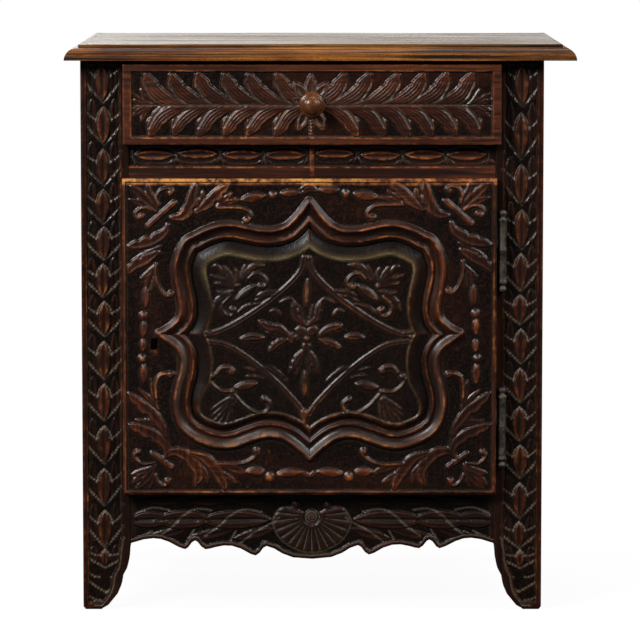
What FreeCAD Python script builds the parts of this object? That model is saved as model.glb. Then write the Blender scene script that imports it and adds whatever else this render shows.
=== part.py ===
import FreeCAD, Part
import math
import os
import re
import Sketcher

# A carved oak jam cabinet: one drawer over one cupboard door, on four shaped feet.
# Millimetres. X runs to the right, Y from front to back, Z upwards.
# The origin is on the floor, midway along the width and the depth of the whole cabinet.

os.makedirs("parts", exist_ok=True)
doc = FreeCAD.newDocument("carved_cabinet")
vector = FreeCAD.Vector

# Driving dimensions
sizes = {
    # The case and its top
    "case_width": 720,
    "case_depth": 465,
    "case_height": 864,
    "top_thick": 25,
    "overhang_left": 23.5,
    "overhang_right": 49.3,
    "overhang_front": 30,
    "overhang_back": 14,
    "thumb_wide": 21,
    "thumb_high": 20,
    "plank_front_deep": 176,
    "plank_middle_deep": 168,
    # Posts and feet
    "post_wide": 75,
    "post_deep": 45,
    "rear_post_wide": 50,
    "foot_high": 105,
    "foot_sole": 30,
    "foot_sole_deep": 30,
    "band_outer": 8,
    "band_inner": 14,
    "band_sink": 3,
    "band_above_foot": 8,
    "band_below_top": 8,
    # Front rails and the apron
    "rail_thick": 25,
    "top_rail_high": 18,
    "drawer_hole_high": 104,
    "middle_rail_high": 70,
    "rail_band_low": 21,
    "rail_band_high": 36,
    "rail_middle_fillet": 6,
    "apron_top": 194,
    "apron_lobe": 80,
    "tenon_long": 30,
    "tenon_thick": 8,
    "tenon_back": 9,
    "tenon_shoulder": 8,
    "top_tenon_shoulder": 4,
    "mortise_deeper": 1.5,
    "peg_radius": 4,
    "peg_long": 26,
    "peg_proud": 0.2,
    "peg_from_joint": 12,
    # Sides, back and inner boards
    "side_rail_thick": 22,
    "side_rail_high": 80,
    "side_rail_set_in": 3,
    "side_low": 120,
    "panel_tongue": 8,
    "panel_groove_deep": 10,
    "side_tenon_shoulder": 14,
    "panel_bevel": 34,
    "panel_raise": 6,
    "back_rail_high": 60,
    "back_rail_thick": 25,
    "back_board_thick": 10,
    "back_board_set_in": 5,
    "back_tongue": 6,
    "floor_thick": 16,
    "floor_plank_deep": 210,
    "bearer_wide": 25,
    "bearer_high": 20,
    "shelf_height": 430,
    "shelf_thick": 18,
    "shelf_play": 1,
    # The drawer
    "drawer_lap_side": 8.5,
    "drawer_lap_low": 8.5,
    "drawer_lap_high": 12,
    "drawer_front_thick": 20,
    "drawer_field_edge": 11,
    "drawer_field_end": 14,
    "drawer_field_sink": 4,
    "overlay_gap": 0.3,
    "drawer_side_play": 2,
    "drawer_top_play": 4,
    "drawer_room_behind": 30.3,
    "drawer_side_thick": 12,
    "drawer_bottom_thick": 8,
    "drawer_bottom_up": 10,
    "drawer_groove": 6,
    "tail_long": 12,
    "tail_wide": 22,
    "tail_flare": 3,
    "runner_high": 22,
    "runner_reach": 25,
    "guide_wide": 18,
    "guide_high": 20,
    "knob_collar": 20.2,
    "knob_collar_thick": 5,
    "knob_neck": 10,
    "knob_dome": 15,
    "knob_dome_high": 13,
    "knob_crown": 8,
    "knob_reach": 34,
    "knob_stem": 7,
    # The door
    "door_lap_left": 10,
    "door_lap_right": 2,
    "door_lap_top": 9,
    "door_lap_bottom": 8,
    "door_thick": 24,
    "door_edge_chamfer": 3,
    "stile_line_share": 0.835,
    "cusp_margin": 57,
    "cusp_margin_top": 36,
    "cusp_margin_bottom": 58,
    "cusp_centre_up": 5.5,
    "bead_half": 4,
    "bead_flat_half": 1.5,
    "bead_proud": 3,
    "cove_wide": 9,
    "cove_deep": 6,
    "inner_bead_in": 17,
    "inner_bead_high": 2,
    "sight_in": 22,
    "rebate_past_cusp": 6,
    "rebate_deep": 9,
    "panel_play": 0.2,
    "panel_under_face": 12,
    "field_in": 46,
    "field_under_face": 7,
    "door_tenon_thick": 6.5,
    "door_tenon_front": 7,
    "door_tenon_long": 40,
    "door_tenon_low": 20,
    "door_tenon_high": 18,
    "strap_half": 4.5,
    "strap_high": 3,
    "diamond_in_side": 70,
    "diamond_in_top": 76,
    "diamond_in_bottom": 54,
    "boss_radius": 7,
    # Hinges, lock and bolt
    "hinge_beside": 11,
    "hinge_before": 9,
    "hinge_below_top": 114,
    "hinge_above_bottom": 104,
    "barrel_radius": 7,
    "barrel_long": 48,
    "barrel_gap": 0.3,
    "collar_radius": 8,
    "finial_tip": 4,
    "finial_high": 16,
    "pin_radius": 3,
    "pin_half": 34,
    "pin_play": 0.05,
    "leaf_thick": 3,
    "leaf_deep": 26,
    "leaf_end": 5,
    "keyhole_from_edge": 49,
    "keyhole_below_cusp": 16,
    "keyhole_wide": 9.4,
    "keyhole_high": 17,
    "lock_wide": 60,
    "lock_high": 70,
    "lock_thick": 14,
    "lock_from_post": 3,
    "bolt_thick": 6,
    "bolt_high": 16,
    "bolt_long": 42,
    "bolt_inside": 0.5,
    "bolt_play": 0.3,
    "bolt_throw": 10,
    "bolt_from_door": 4,
}

# Places worked out from the sizes
places = {
    "middle": "(overhang_left - overhang_right) / 2",
    "front": "(overlay_gap + drawer_front_thick + knob_reach - case_depth - overhang_back) / 2",
    "back": "front + case_depth",
    "inner": "case_width / 2 - post_wide",
    "outer": "case_width / 2",
    "rear_inner": "case_width / 2 - rear_post_wide",
    "side_out": "outer - side_rail_set_in",
    "side_in": "side_out - side_rail_thick",
    "post_behind": "front + post_deep",
    "rear_before": "back - post_deep",
    "rail_behind": "front + rail_thick",
    "hole_top": "case_height - top_rail_high",
    "hole_bottom": "hole_top - drawer_hole_high",
    "rail_low": "hole_bottom - middle_rail_high",
    "back_boards_front": "back - back_board_set_in - back_board_thick",
    "back_rail_front": "back_boards_front - back_rail_thick",
    "door_left": "middle - inner - door_lap_left",
    "door_right": "middle + inner + door_lap_right",
    "door_middle": "(door_left + door_right) / 2",
    "door_top": "rail_low + door_lap_top",
    "door_bottom": "apron_top - door_lap_bottom",
    "door_behind": "front - overlay_gap",
    "door_face": "door_behind - door_thick",
    "cusp_level": "(door_top + door_bottom) / 2 + cusp_centre_up",
    "cusp_across": "(door_right - door_left) / 2 - cusp_margin",
    "cusp_up": "door_top - cusp_margin_top - cusp_level",
    "cusp_down": "cusp_level - door_bottom - cusp_margin_bottom",
    "stile_line": "(cusp_across - sight_in) * stile_line_share",
    "drawer_face": "front - overlay_gap - drawer_front_thick",
    "drawer_out": "inner - drawer_side_play",
    "drawer_low": "hole_bottom + overlay_gap",
    "drawer_high": "hole_top - drawer_top_play",
    "drawer_rear": "back_rail_front - drawer_room_behind",
    "drawer_front_high": "drawer_hole_high + drawer_lap_low + drawer_lap_high",
    "hinge_x": "middle + inner + hinge_beside",
    "hinge_y": "front - hinge_before",
    "hinge_upper": "door_top - hinge_below_top",
    "hinge_lower": "door_bottom + hinge_above_bottom",
    "keyhole_height": "cusp_level - keyhole_below_cusp",
    "lock_left": "middle - inner + lock_from_post",
}

sheet = doc.addObject("Spreadsheet::Sheet", "Sizes")
for row, (name, size) in enumerate(sizes.items(), start=1):
    sheet.set(f"A{row}", name)
    sheet.set(f"B{row}", str(size))
    sheet.setAlias(f"B{row}", name)
doc.recompute()


def formula(text):
    """The text with every size read from the sheet and every place written out."""
    def spell(match):
        word = match.group(0)
        if word in places:
            return "(" + formula(places[word]) + ")"
        return "Sizes." + word if word in sizes else word
    return re.sub(r"[a-z_]+", spell, text)


def value(text):
    """The number that a formula gives now."""
    return float(sheet.evalExpression(formula(text)))


def bind(piece, what, text):
    piece.setExpression(what, formula(text))


def block(name, x, y, z):
    """A squared board between the low and high formulas of each direction."""
    board = doc.addObject("Part::Box", name)
    for axis, side, (low, high) in zip("xyz", ("Length", "Width", "Height"), (x, y, z)):
        bind(board, side, f"({high}) - ({low})")
        bind(board, "Placement.Base." + axis, low)
    return board


def rod(name, radius, x, y, z, axis="z"):
    """A round rod; the pair among x, y and z that gives its ends is the axis's own."""
    stick = doc.addObject("Part::Cylinder", name)
    bind(stick, "Radius", radius)
    ends = {"x": x, "y": y, "z": z}
    low, high = ends[axis]
    ends[axis] = low
    bind(stick, "Height", f"({high}) - ({low})")
    turns = {"x": (vector(0, 1, 0), 90), "y": (vector(1, 0, 0), -90), "z": (vector(0, 0, 1), 0)}
    turn = FreeCAD.Rotation(*turns[axis])
    stick.Placement = FreeCAD.Placement(vector(), turn)
    for name_of_axis, text in ends.items():
        bind(stick, "Placement.Base." + name_of_axis, text)
    return stick


def joined(name, pieces):
    whole = doc.addObject("Part::MultiFuse", name)
    whole.Shapes = pieces
    whole.Refine = True
    return whole


def without(name, piece, tools):
    """The piece less its tools."""
    tool = tools[0] if len(tools) == 1 else joined(name + "_tools", tools)
    rest = doc.addObject("Part::Cut", name)
    rest.Base = piece
    rest.Tool = tool
    rest.Refine = True
    return rest


def shaped(name, shape):
    """A piece whose shape is worked out from the sheet's values."""
    piece = doc.addObject("Part::Feature", name)
    piece.Shape = shape
    return piece


def shared(name, piece, other):
    both = doc.addObject("Part::Common", name)
    both.Base = piece
    both.Tool = other
    both.Refine = True
    return both


def beside(side, low, high):
    """The X pair of something between two distances from the case's middle."""
    if side < 0:
        return f"middle - ({high})", f"middle - ({low})"
    return f"middle + ({low})", f"middle + ({high})"


def inside(low, high, by):
    """A pair drawn in at both ends."""
    return f"{low} + ({by})", f"{high} - ({by})"


def face_of(edges):
    return Part.Face(Part.Wire(Part.__sortEdges__(edges)))


kept = {}


def keep(name, piece, body):
    """Marks a finished sub-part, under the name of its file."""
    piece.Label = name
    kept[name] = (piece, body)
    return piece


hands = (("left", -1), ("right", 1))


# The top: three planks with a thumb moulding along the front and both ends

def thumb_section(near, far, low, high, fold):
    """The top's section: flat below, a quarter round up to a step at its moulded edges."""
    wide = value("thumb_wide")
    tall = value("thumb_high")
    lean = math.sqrt(0.5)

    def rounded(edge, inward):
        crown = edge + inward * wide
        return (edge, low), (edge + inward * wide * (1 - lean), low + tall * lean), (crown, low + tall)

    start, bend, end = rounded(near, 1)
    edges = [Part.Arc(fold(*start), fold(*bend), fold(*end)).toShape()]
    edges.append(Part.makeLine(fold(*end), fold(end[0], high)))
    last = far
    if fold is across:
        start, bend, last_end = rounded(far, -1)
        edges.append(Part.Arc(fold(*start), fold(*bend), fold(*last_end)).toShape())
        edges.append(Part.makeLine(fold(*last_end), fold(last_end[0], high)))
        last = last_end[0]
    else:
        edges.append(Part.makeLine(fold(far, low), fold(far, high)))
    edges.append(Part.makeLine(fold(end[0], high), fold(last, high)))
    edges.append(Part.makeLine(fold(near, low), fold(far, low)))
    return face_of(edges)


def across(along, up):
    return vector(along, value("front - overhang_front"), up)


def lengthwise(along, up):
    return vector(value("middle - outer - overhang_left"), along, up)


def top_planks():
    left = value("middle - outer - overhang_left")
    right = value("middle + outer + overhang_right")
    near = value("front - overhang_front")
    far = value("back + overhang_back")
    low = value("case_height")
    high = value("case_height + top_thick")
    ends = thumb_section(left, right, low, high, across).extrude(vector(0, far - near, 0))
    edge = thumb_section(near, far, low, high, lengthwise).extrude(vector(right - left, 0, 0))
    whole = shaped("top_whole", ends.common(edge))
    first = "front - overhang_front"
    second = "front - overhang_front + plank_front_deep"
    third = second + " + plank_middle_deep"
    last = "back + overhang_back"
    width = ("middle - outer - overhang_left", "middle + outer + overhang_right")
    height = ("case_height", "case_height + top_thick")
    for name, near, far in (("front", first, second), ("middle", second, third), ("rear", third, last)):
        slot = block("top_slot_" + name, width, (near, far), height)
        keep("top_plank_" + name, shared("top_plank_" + name, whole, slot), "root")


# Tenons and mortises

def tenoned(name, reach, y, z, shoulder, tongue, tools=()):
    """A rail between two posts, with a tenon at each end."""
    pieces = [block(name + "_body", (f"middle - ({reach})", f"middle + ({reach})"), y, z)]
    for hand, side in hands:
        x = beside(side, reach, f"{reach} + tenon_long")
        pieces.append(block(f"{name}_tenon_{hand}", x, tongue, inside(*z, shoulder)))
    whole = joined(name, pieces)
    if tools:
        whole = without(name + "_cut", whole, list(tools))
    return whole


def mortise(name, side, reach, tongue, z):
    x = beside(side, f"{reach} - mortise_deeper", f"{reach} + tenon_long + mortise_deeper")
    return block(name, x, tongue, z)


front_tongue = ("front + tenon_back", "front + tenon_back + tenon_thick")
rear_tongue = ("back_rail_front + tenon_back", "back_rail_front + tenon_back + tenon_thick")
side_tongue = ("side_in + tenon_shoulder", "side_in + tenon_shoulder + panel_tongue")
front_rails = {
    "front_rail_top": ("hole_top", "case_height", "top_tenon_shoulder"),
    "front_rail_middle": ("rail_low", "hole_bottom", "tenon_shoulder"),
    "apron": ("foot_high", "apron_top", "tenon_shoulder"),
}
back_rails = {
    "back_rail_top": ("case_height - back_rail_high", "case_height"),
    "back_rail_middle": ("hole_bottom - back_rail_high", "hole_bottom"),
    "back_rail_bottom": ("side_low", "apron_top - floor_thick"),
}
side_rails = {
    "upper": ("case_height - side_rail_high", "case_height"),
    "lower": ("side_low", "side_low + side_rail_high"),
}


def peg_places():
    """Where the pegs pass through the front posts: side, height formula and name."""
    for rail, (low, high, shoulder) in front_rails.items():
        for hand, side in hands:
            if rail == "front_rail_top":
                yield hand, side, f"({low} + {high}) / 2", f"{rail}_{hand}"
                continue
            for step, share in (("low", "0.3"), ("high", "0.7")):
                yield hand, side, f"{low} + ({high} - {low}) * {share}", f"{rail}_{hand}_{step}"


def peg_rod(name, side, level, extra="0"):
    """A riven eight-sided peg, or the hole that it fills, from the front of a post inwards."""
    peg = doc.addObject("Part::Prism", name)
    peg.Polygon = 8
    bind(peg, "Circumradius", "peg_radius")
    bind(peg, "Height", f"peg_proud + peg_long + {extra}")
    peg.Placement = FreeCAD.Placement(vector(), FreeCAD.Rotation(vector(1, 0, 0), -90))
    bind(peg, "Placement.Base.x", f"middle + {side} * (inner + peg_from_joint)")
    bind(peg, "Placement.Base.y", f"front - peg_proud - {extra}")
    bind(peg, "Placement.Base.z", level)
    return peg


# Posts with their shaped feet

def foot_outline(side, inner_edge, depth_at_sole):
    """The post's front outline with the foot's hollow, cut again to the foot's side outline."""
    tall = value("case_height")
    high = value("foot_high")
    sole = value("foot_sole")
    out = value("outer")
    edge = value(inner_edge)
    mid = value("middle")
    deep = value("post_deep")
    knee_share = 0.34
    shin_share = 0.38

    def at(x, z):
        return vector(mid + side * x, 0, z)

    knee = at(edge + (out - sole - edge) * knee_share, high * shin_share)
    edges = [
        Part.Arc(at(edge, high), knee, at(out - sole, 0)).toShape(),
        Part.makeLine(at(out - sole, 0), at(out, 0)),
        Part.makeLine(at(out, 0), at(out, tall)),
        Part.makeLine(at(out, tall), at(edge, tall)),
        Part.makeLine(at(edge, tall), at(edge, high)),
    ]
    post = face_of(edges).extrude(vector(0, deep, 0))
    taper = deep - value(depth_at_sole)
    side_edges = [
        Part.makeLine(vector(0, 0, 0), vector(0, 0, tall)),
        Part.makeLine(vector(0, 0, tall), vector(0, deep, tall)),
        Part.makeLine(vector(0, deep, tall), vector(0, deep, high)),
        Part.Arc(vector(0, deep, high), vector(0, deep - taper * knee_share, high * shin_share),
                 vector(0, deep - taper, 0)).toShape(),
        Part.makeLine(vector(0, deep - taper, 0), vector(0, 0, 0)),
    ]
    profile = face_of(side_edges)
    profile.translate(vector(mid + min(side * edge, side * out), 0, 0))
    return post.common(profile.extrude(vector(out - edge, 0, 0)))


def front_post(hand, side):
    shape = foot_outline(side, "inner", "foot_sole_deep")
    shape.translate(vector(0, value("front"), 0))
    blank = shaped("post_front_blank_" + hand, shape)
    band_z = ("foot_high + band_above_foot", "case_height - band_below_top")
    band = beside(side, "inner + band_inner", "outer - band_outer")
    tools = [block("post_band_" + hand, band, ("front - band_sink", "front + band_sink"), band_z)]
    for rail, (low, high, shoulder) in front_rails.items():
        z = inside(low, high, shoulder)
        tools.append(mortise(f"mortise_{rail}_{hand}", side, "inner", front_tongue, z))
    for rail, (low, high) in side_rails.items():
        y = ("post_behind - tenon_long + mortise_deeper", "post_behind + mortise_deeper")
        z = inside(low, high, "side_tenon_shoulder")
        tools.append(block(f"mortise_front_{rail}_{hand}", beside(side, *side_tongue), y, z))
    y = ("post_behind - panel_groove_deep", "post_behind + mortise_deeper")
    z = ("side_low + side_rail_high", "case_height - side_rail_high")
    tools.append(block(f"groove_front_{hand}", beside(side, *side_tongue), y, z))
    for peg_hand, peg_side, level, name in peg_places():
        if peg_hand == hand:
            tools.append(peg_rod("peg_hole_" + name, peg_side, level, "mortise_deeper"))
    if side > 0:
        tools += [leaf_of_post(level, "slot") for level in ("hinge_upper", "hinge_lower")]
    else:
        tools.append(bolt_mortise())
    keep("post_front_" + hand, without("post_front_" + hand, blank, tools), "root")


def rear_post(hand, side):
    shape = foot_outline(side, "rear_inner", "foot_sole_deep")
    shape = shape.mirror(vector(), vector(0, 1, 0))
    shape.translate(vector(0, value("back"), 0))
    blank = shaped("post_rear_blank_" + hand, shape)
    tools = []
    for rail, (low, high) in back_rails.items():
        z = inside(low, high, "tenon_shoulder")
        tools.append(mortise(f"mortise_{rail}_{hand}", side, "rear_inner", rear_tongue, z))
    for rail, (low, high) in side_rails.items():
        y = ("rear_before - mortise_deeper", "rear_before + tenon_long - mortise_deeper")
        z = inside(low, high, "side_tenon_shoulder")
        tools.append(block(f"mortise_rear_{rail}_{hand}", beside(side, *side_tongue), y, z))
    y = ("rear_before - mortise_deeper", "rear_before + panel_groove_deep")
    z = ("side_low + side_rail_high", "case_height - side_rail_high")
    tools.append(block(f"groove_rear_{hand}", beside(side, *side_tongue), y, z))
    keep("post_rear_" + hand, without("post_rear_" + hand, blank, tools), "root")


# Front rails and the scalloped apron

def peg_holes(rail):
    """The holes that a rail's own pegs make in its tenons."""
    found = [place for place in peg_places() if place[3].startswith(rail)]
    return [peg_rod("tenon_hole_" + name, side, level) for hand, side, level, name in found]


def front_rail(name):
    low, high, shoulder = front_rails[name]
    tools = peg_holes(name)
    if name == "front_rail_middle":
        z = ("rail_low + rail_band_low", "rail_low + rail_band_low + rail_band_high")
        y = ("front - band_sink", "front + band_sink")
        for hand, side in hands:
            x = beside(side, "rail_middle_fillet / 2", "inner")
            tools.append(block("rail_band_" + hand, x, y, z))
    y = ("front", "rail_behind")
    keep(name, tenoned(name, "inner", y, (low, high), shoulder, front_tongue, tools), "root")


# Turning points of the apron's lower edge: across as shares of its half width, and
# upwards as shares of the height from the central lobe to the top of the foot
scallop_shares = [
    ((0.0, 0.0), (0.155, 0.36), (0.253, 0.84)),
    ((0.253, 0.84), (0.281, 0.42), (0.312, 0.24)),
    ((0.312, 0.24), (0.460, 0.88), (0.589, 0.64)),
    ((0.589, 0.64), (0.646, 1.20), (0.702, 0.64)),
    ((0.702, 0.64), (0.860, 1.32), (1.0, 1.0)),
]
apron_lean_share = 0.012


def apron():
    half = value("inner")
    lobe = value("apron_lobe")
    rise = value("foot_high") - lobe
    top = value("apron_top")
    mid = value("middle")
    near = value("front")

    def at(side, share_across, share_up):
        x = side * share_across * half
        lean = x * apron_lean_share * (1 - share_across)
        return vector(mid + x, near, lobe + share_up * rise + lean)

    edges = []
    for hand, side in hands:
        for start, bend, end in scallop_shares:
            edges.append(Part.Arc(at(side, *start), at(side, *bend), at(side, *end)).toShape())
        corner = vector(mid + side * half, near, top)
        edges.append(Part.makeLine(at(side, *scallop_shares[-1][2]), corner))
    edges.append(Part.makeLine(vector(mid - half, near, top), vector(mid + half, near, top)))
    board = shaped("apron_board", face_of(edges).extrude(vector(0, value("rail_thick"), 0)))
    low, high, shoulder = front_rails["apron"]
    pieces = [board]
    for hand, side in hands:
        x = beside(side, "inner", "inner + tenon_long")
        pieces.append(block("apron_tenon_" + hand, x, front_tongue, inside(low, high, shoulder)))
    whole = joined("apron_joined", pieces)
    keep("apron", without("apron", whole, peg_holes("apron")), "root")


def joint_pegs():
    pegs = doc.addObject("Part::Compound", "joint_pegs")
    pegs.Links = [peg_rod("peg_" + name, side, level) for hand, side, level, name in peg_places()]
    keep("joint_pegs", pegs, "root")


# Panelled sides

def side_frame(hand, side):
    y = ("post_behind", "rear_before")
    for rail, (low, high) in side_rails.items():
        name = f"side_rail_{rail}_{hand}"
        body = block(name + "_body", beside(side, "side_in", "side_out"), y, (low, high))
        tongue_y = ("post_behind - tenon_long + mortise_deeper", "rear_before + tenon_long - mortise_deeper")
        z = inside(low, high, "side_tenon_shoulder")
        tenons = block(name + "_tenons", beside(side, *side_tongue), tongue_y, z)
        whole = joined(name + "_whole", [body, tenons])
        edge = (f"{low} - panel_groove_deep", f"{low} + panel_groove_deep")
        if rail == "lower":
            edge = (f"{high} - panel_groove_deep", f"{high} + panel_groove_deep")
        groove = block(name + "_groove", beside(side, *side_tongue), y, edge)
        keep(name, without(name, whole, [groove]), "root")
    low = "side_low + side_rail_high"
    high = "case_height - side_rail_high"
    tongue = block("side_panel_tongue_" + hand, beside(side, *side_tongue),
                   (y[0] + " - panel_groove_deep", y[1] + " + panel_groove_deep"),
                   (low + " - panel_groove_deep", high + " + panel_groove_deep"))
    corner = block("side_panel_corners_" + hand, beside(side, *side_tongue), y, (low, high))
    field = raised_field("side_panel_field_" + hand, side, y, (low, high))
    grooves = []
    for rail, (rail_low, rail_high) in side_rails.items():
        grooves += [block(f"side_panel_notch_{rail}_{end}_{hand}", beside(side, *side_tongue), end_y,
                          (rail_low, rail_high))
                    for end, end_y in (("front", (y[0] + " - panel_groove_deep", y[0])),
                                       ("rear", (y[1], y[1] + " + panel_groove_deep")))]
    flat = joined("side_panel_flat_" + hand, [tongue, corner])
    sheet_of_wood = without("side_panel_sheet_" + hand, flat, grooves)
    keep("side_panel_" + hand, joined("side_panel_" + hand, [sheet_of_wood, field]), "root")


def raised_field(name, side, y, z):
    """The panel's field: a flat frustum that stands out from the tongue on the outer side."""
    wedge = doc.addObject("Part::Wedge", name)
    for what, text in (("Xmin", "0"), ("Ymin", "0"), ("Zmin", "0"), ("X2min", "panel_bevel"),
                       ("Z2min", "panel_bevel"), ("Ymax", "panel_raise")):
        bind(wedge, what, text)
    wide = f"({y[1]}) - ({y[0]})"
    tall = f"({z[1]}) - ({z[0]})"
    bind(wedge, "Xmax", wide)
    bind(wedge, "X2max", wide + " - panel_bevel")
    bind(wedge, "Zmax", tall)
    bind(wedge, "Z2max", tall + " - panel_bevel")
    wedge.Placement = FreeCAD.Placement(vector(), FreeCAD.Rotation(vector(0, 0, 1), -90 * side))
    out = f"middle + {side} * ({side_tongue[1]})"
    bind(wedge, "Placement.Base.x", out)
    bind(wedge, "Placement.Base.y", y[1] if side > 0 else y[0])
    bind(wedge, "Placement.Base.z", z[0])
    return wedge


# The back

def back():
    for name, (low, high) in back_rails.items():
        y = ("back_rail_front", "back_boards_front")
        rail = tenoned(name, "rear_inner", y, (low, high), "tenon_shoulder", rear_tongue)
        keep(name, rail, "root")
    y = ("back_boards_front", "back_boards_front + back_board_thick")
    tongue_y = (y[0] + " + back_board_thick / 3", y[0] + " + back_board_thick * 2 / 3")
    z = ("side_low", "case_height")
    width = "rear_inner * 2 / 3"
    for step, name in enumerate(("left", "middle", "right")):
        low = f"middle - rear_inner + {step} * {width}"
        board = block("back_blank_" + name, (low, f"{low} + {width}"), y, z)
        if step < 2:
            tongue_x = (f"{low} + {width}", f"{low} + {width} + back_tongue")
            tongue = block("back_tongue_" + name, tongue_x, tongue_y, z)
            board = joined("back_tongued_" + name, [board, tongue])
        if step > 0:
            groove = block("back_groove_" + name, (low, f"{low} + back_tongue"), tongue_y, z)
            board = without("back_grooved_" + name, board, [groove])
        keep("back_board_" + name, board, "root")


# The cupboard's floor, the shelf and what carries them

def floor_and_shelf():
    floor_z = ("apron_top - floor_thick", "apron_top")
    wide = ("middle - side_in", "middle + side_in")
    split = "rail_behind + floor_plank_deep"
    corners = {
        "front": ("rail_behind", split, "rail_behind", "post_behind", "inner"),
        "rear": (split, "back_boards_front", "rear_before", "back_boards_front", "rear_inner"),
    }
    for name, (near, far, notch_near, notch_far, reach) in corners.items():
        plank = block("floor_blank_" + name, wide, (near, far), floor_z)
        notches = [block(f"floor_notch_{name}_{hand}", beside(side, reach, "side_in"),
                         (notch_near, notch_far), floor_z)
                   for hand, side in hands]
        keep("floor_board_" + name, without("floor_board_" + name, plank, notches), "root")
    between = ("post_behind", "rear_before")
    shelf_y = ("post_behind + shelf_play", "rear_before - shelf_play")
    shelf_x = ("middle - side_in + shelf_play", "middle + side_in - shelf_play")
    keep("shelf", block("shelf", shelf_x, shelf_y, ("shelf_height", "shelf_height + shelf_thick")), "root")
    for hand, side in hands:
        x = beside(side, "side_in - bearer_wide", "side_in")
        bearer_z = ("apron_top - floor_thick - bearer_high", "apron_top - floor_thick")
        cleat_z = ("shelf_height - bearer_high", "shelf_height")
        keep("floor_bearer_" + hand, block("floor_bearer_" + hand, x, between, bearer_z), "root")
        keep("shelf_cleat_" + hand, block("shelf_cleat_" + hand, x, between, cleat_z), "root")


# What the drawer runs on, between and under

def drawer_way(name, hand, side, z):
    reach = "inner - runner_reach"
    pieces = [
        block(f"{name}_bar_{hand}", beside(side, reach, "side_in"), ("post_behind", "rear_before"), z),
        block(f"{name}_nose_{hand}", beside(side, reach, "inner"), ("rail_behind", "post_behind"), z),
        block(f"{name}_heel_{hand}", beside(side, reach, "rear_inner"), ("rear_before", "back_rail_front"), z),
    ]
    keep(f"drawer_{name}_{hand}", joined(f"drawer_{name}_{hand}", pieces), "root")


def drawer_ways():
    for hand, side in hands:
        drawer_way("runner", hand, side, ("hole_bottom - runner_high", "hole_bottom"))
        drawer_way("kicker", hand, side, ("hole_top", "case_height"))
        guide = block("drawer_guide_" + hand, beside(side, "inner", "inner + guide_wide"),
                      ("post_behind", "rear_before"), ("hole_bottom", "hole_bottom + guide_high"))
        keep("drawer_guide_" + hand, guide, "root")


# Turned pieces

def turned(name, outline):
    """A body turned about its upright axis.

    The outline goes round the section as (radius, height) formulas, joined by straight lines.
    """
    body = doc.addObject("PartDesign::Body", name + "_body")
    sketch = body.newObject("Sketcher::SketchObject", name + "_section")
    plane = [feature for feature in body.Origin.OriginFeatures if feature.Role == "XZ_Plane"][0]
    sketch.AttachmentSupport = (plane, "")
    sketch.MapMode = "FlatFace"
    points = [vector(value(radius), value(height), 0) for radius, height in outline]
    count = len(points)
    for index, start in enumerate(points):
        sketch.addGeometry(Part.LineSegment(start, points[(index + 1) % count]))
    for index in range(count):
        sketch.addConstraint(Sketcher.Constraint("Coincident", index, 2, (index + 1) % count, 1))
    for index, (radius, height) in enumerate(outline):
        for kind, text, axis in (("DistanceX", radius, -2), ("DistanceY", height, -1)):
            if text == "0":
                sketch.addConstraint(Sketcher.Constraint("PointOnObject", index, 1, axis))
                continue
            rule = sketch.addConstraint(Sketcher.Constraint(kind, -1, 1, index, 1, value(text)))
            bind(sketch, f"Constraints[{rule}]", text)
    doc.recompute()
    lathe = body.newObject("PartDesign::Revolution", name + "_turning")
    lathe.Profile = sketch
    lathe.ReferenceAxis = (sketch, ["V_Axis"])
    lathe.Angle = 360
    return body


def knob():
    tip = "drawer_front_thick + knob_reach"
    outline = [
        ("0", "0"),
        ("knob_stem", "0"),
        ("knob_stem", "drawer_front_thick"),
        ("knob_collar", "drawer_front_thick"),
        ("knob_collar", "drawer_front_thick + knob_collar_thick"),
        ("knob_neck", "drawer_front_thick + knob_collar_thick * 2"),
        ("knob_dome", tip + " - knob_dome_high"),
        ("knob_crown", tip),
        ("0", tip),
    ]
    body = turned("drawer_knob", outline)
    body.Placement = FreeCAD.Placement(vector(), FreeCAD.Rotation(vector(1, 0, 0), 90))
    bind(body, "Placement.Base.x", "middle")
    bind(body, "Placement.Base.y", "drawer_face + drawer_front_thick")
    bind(body, "Placement.Base.z", "hole_bottom - drawer_lap_low + drawer_front_high / 2")
    keep("drawer_knob", body, "drawer")


# The drawer

def tails(side):
    """Dovetail wedges of one drawer side, wider at the end that sits in the front."""
    wedges = []
    for step in (0, 1):
        middle = value(f"drawer_low + (drawer_high - drawer_low) * ({step} * 2 + 1) / 4")
        half = value("tail_wide") / 2
        flare = value("tail_flare")
        near = value("front - overlay_gap - tail_long")
        far = value("front - overlay_gap")
        x = value(f"middle + {side} * drawer_out")
        inward = value("drawer_side_thick")
        corners = [vector(x, near, middle - half - flare), vector(x, far, middle - half),
                   vector(x, far, middle + half), vector(x, near, middle + half + flare)]
        outline = Part.Face(Part.makePolygon(corners + corners[:1]))
        wedges.append(outline.extrude(vector(-side * inward, 0, 0)))
    return wedges


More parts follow.
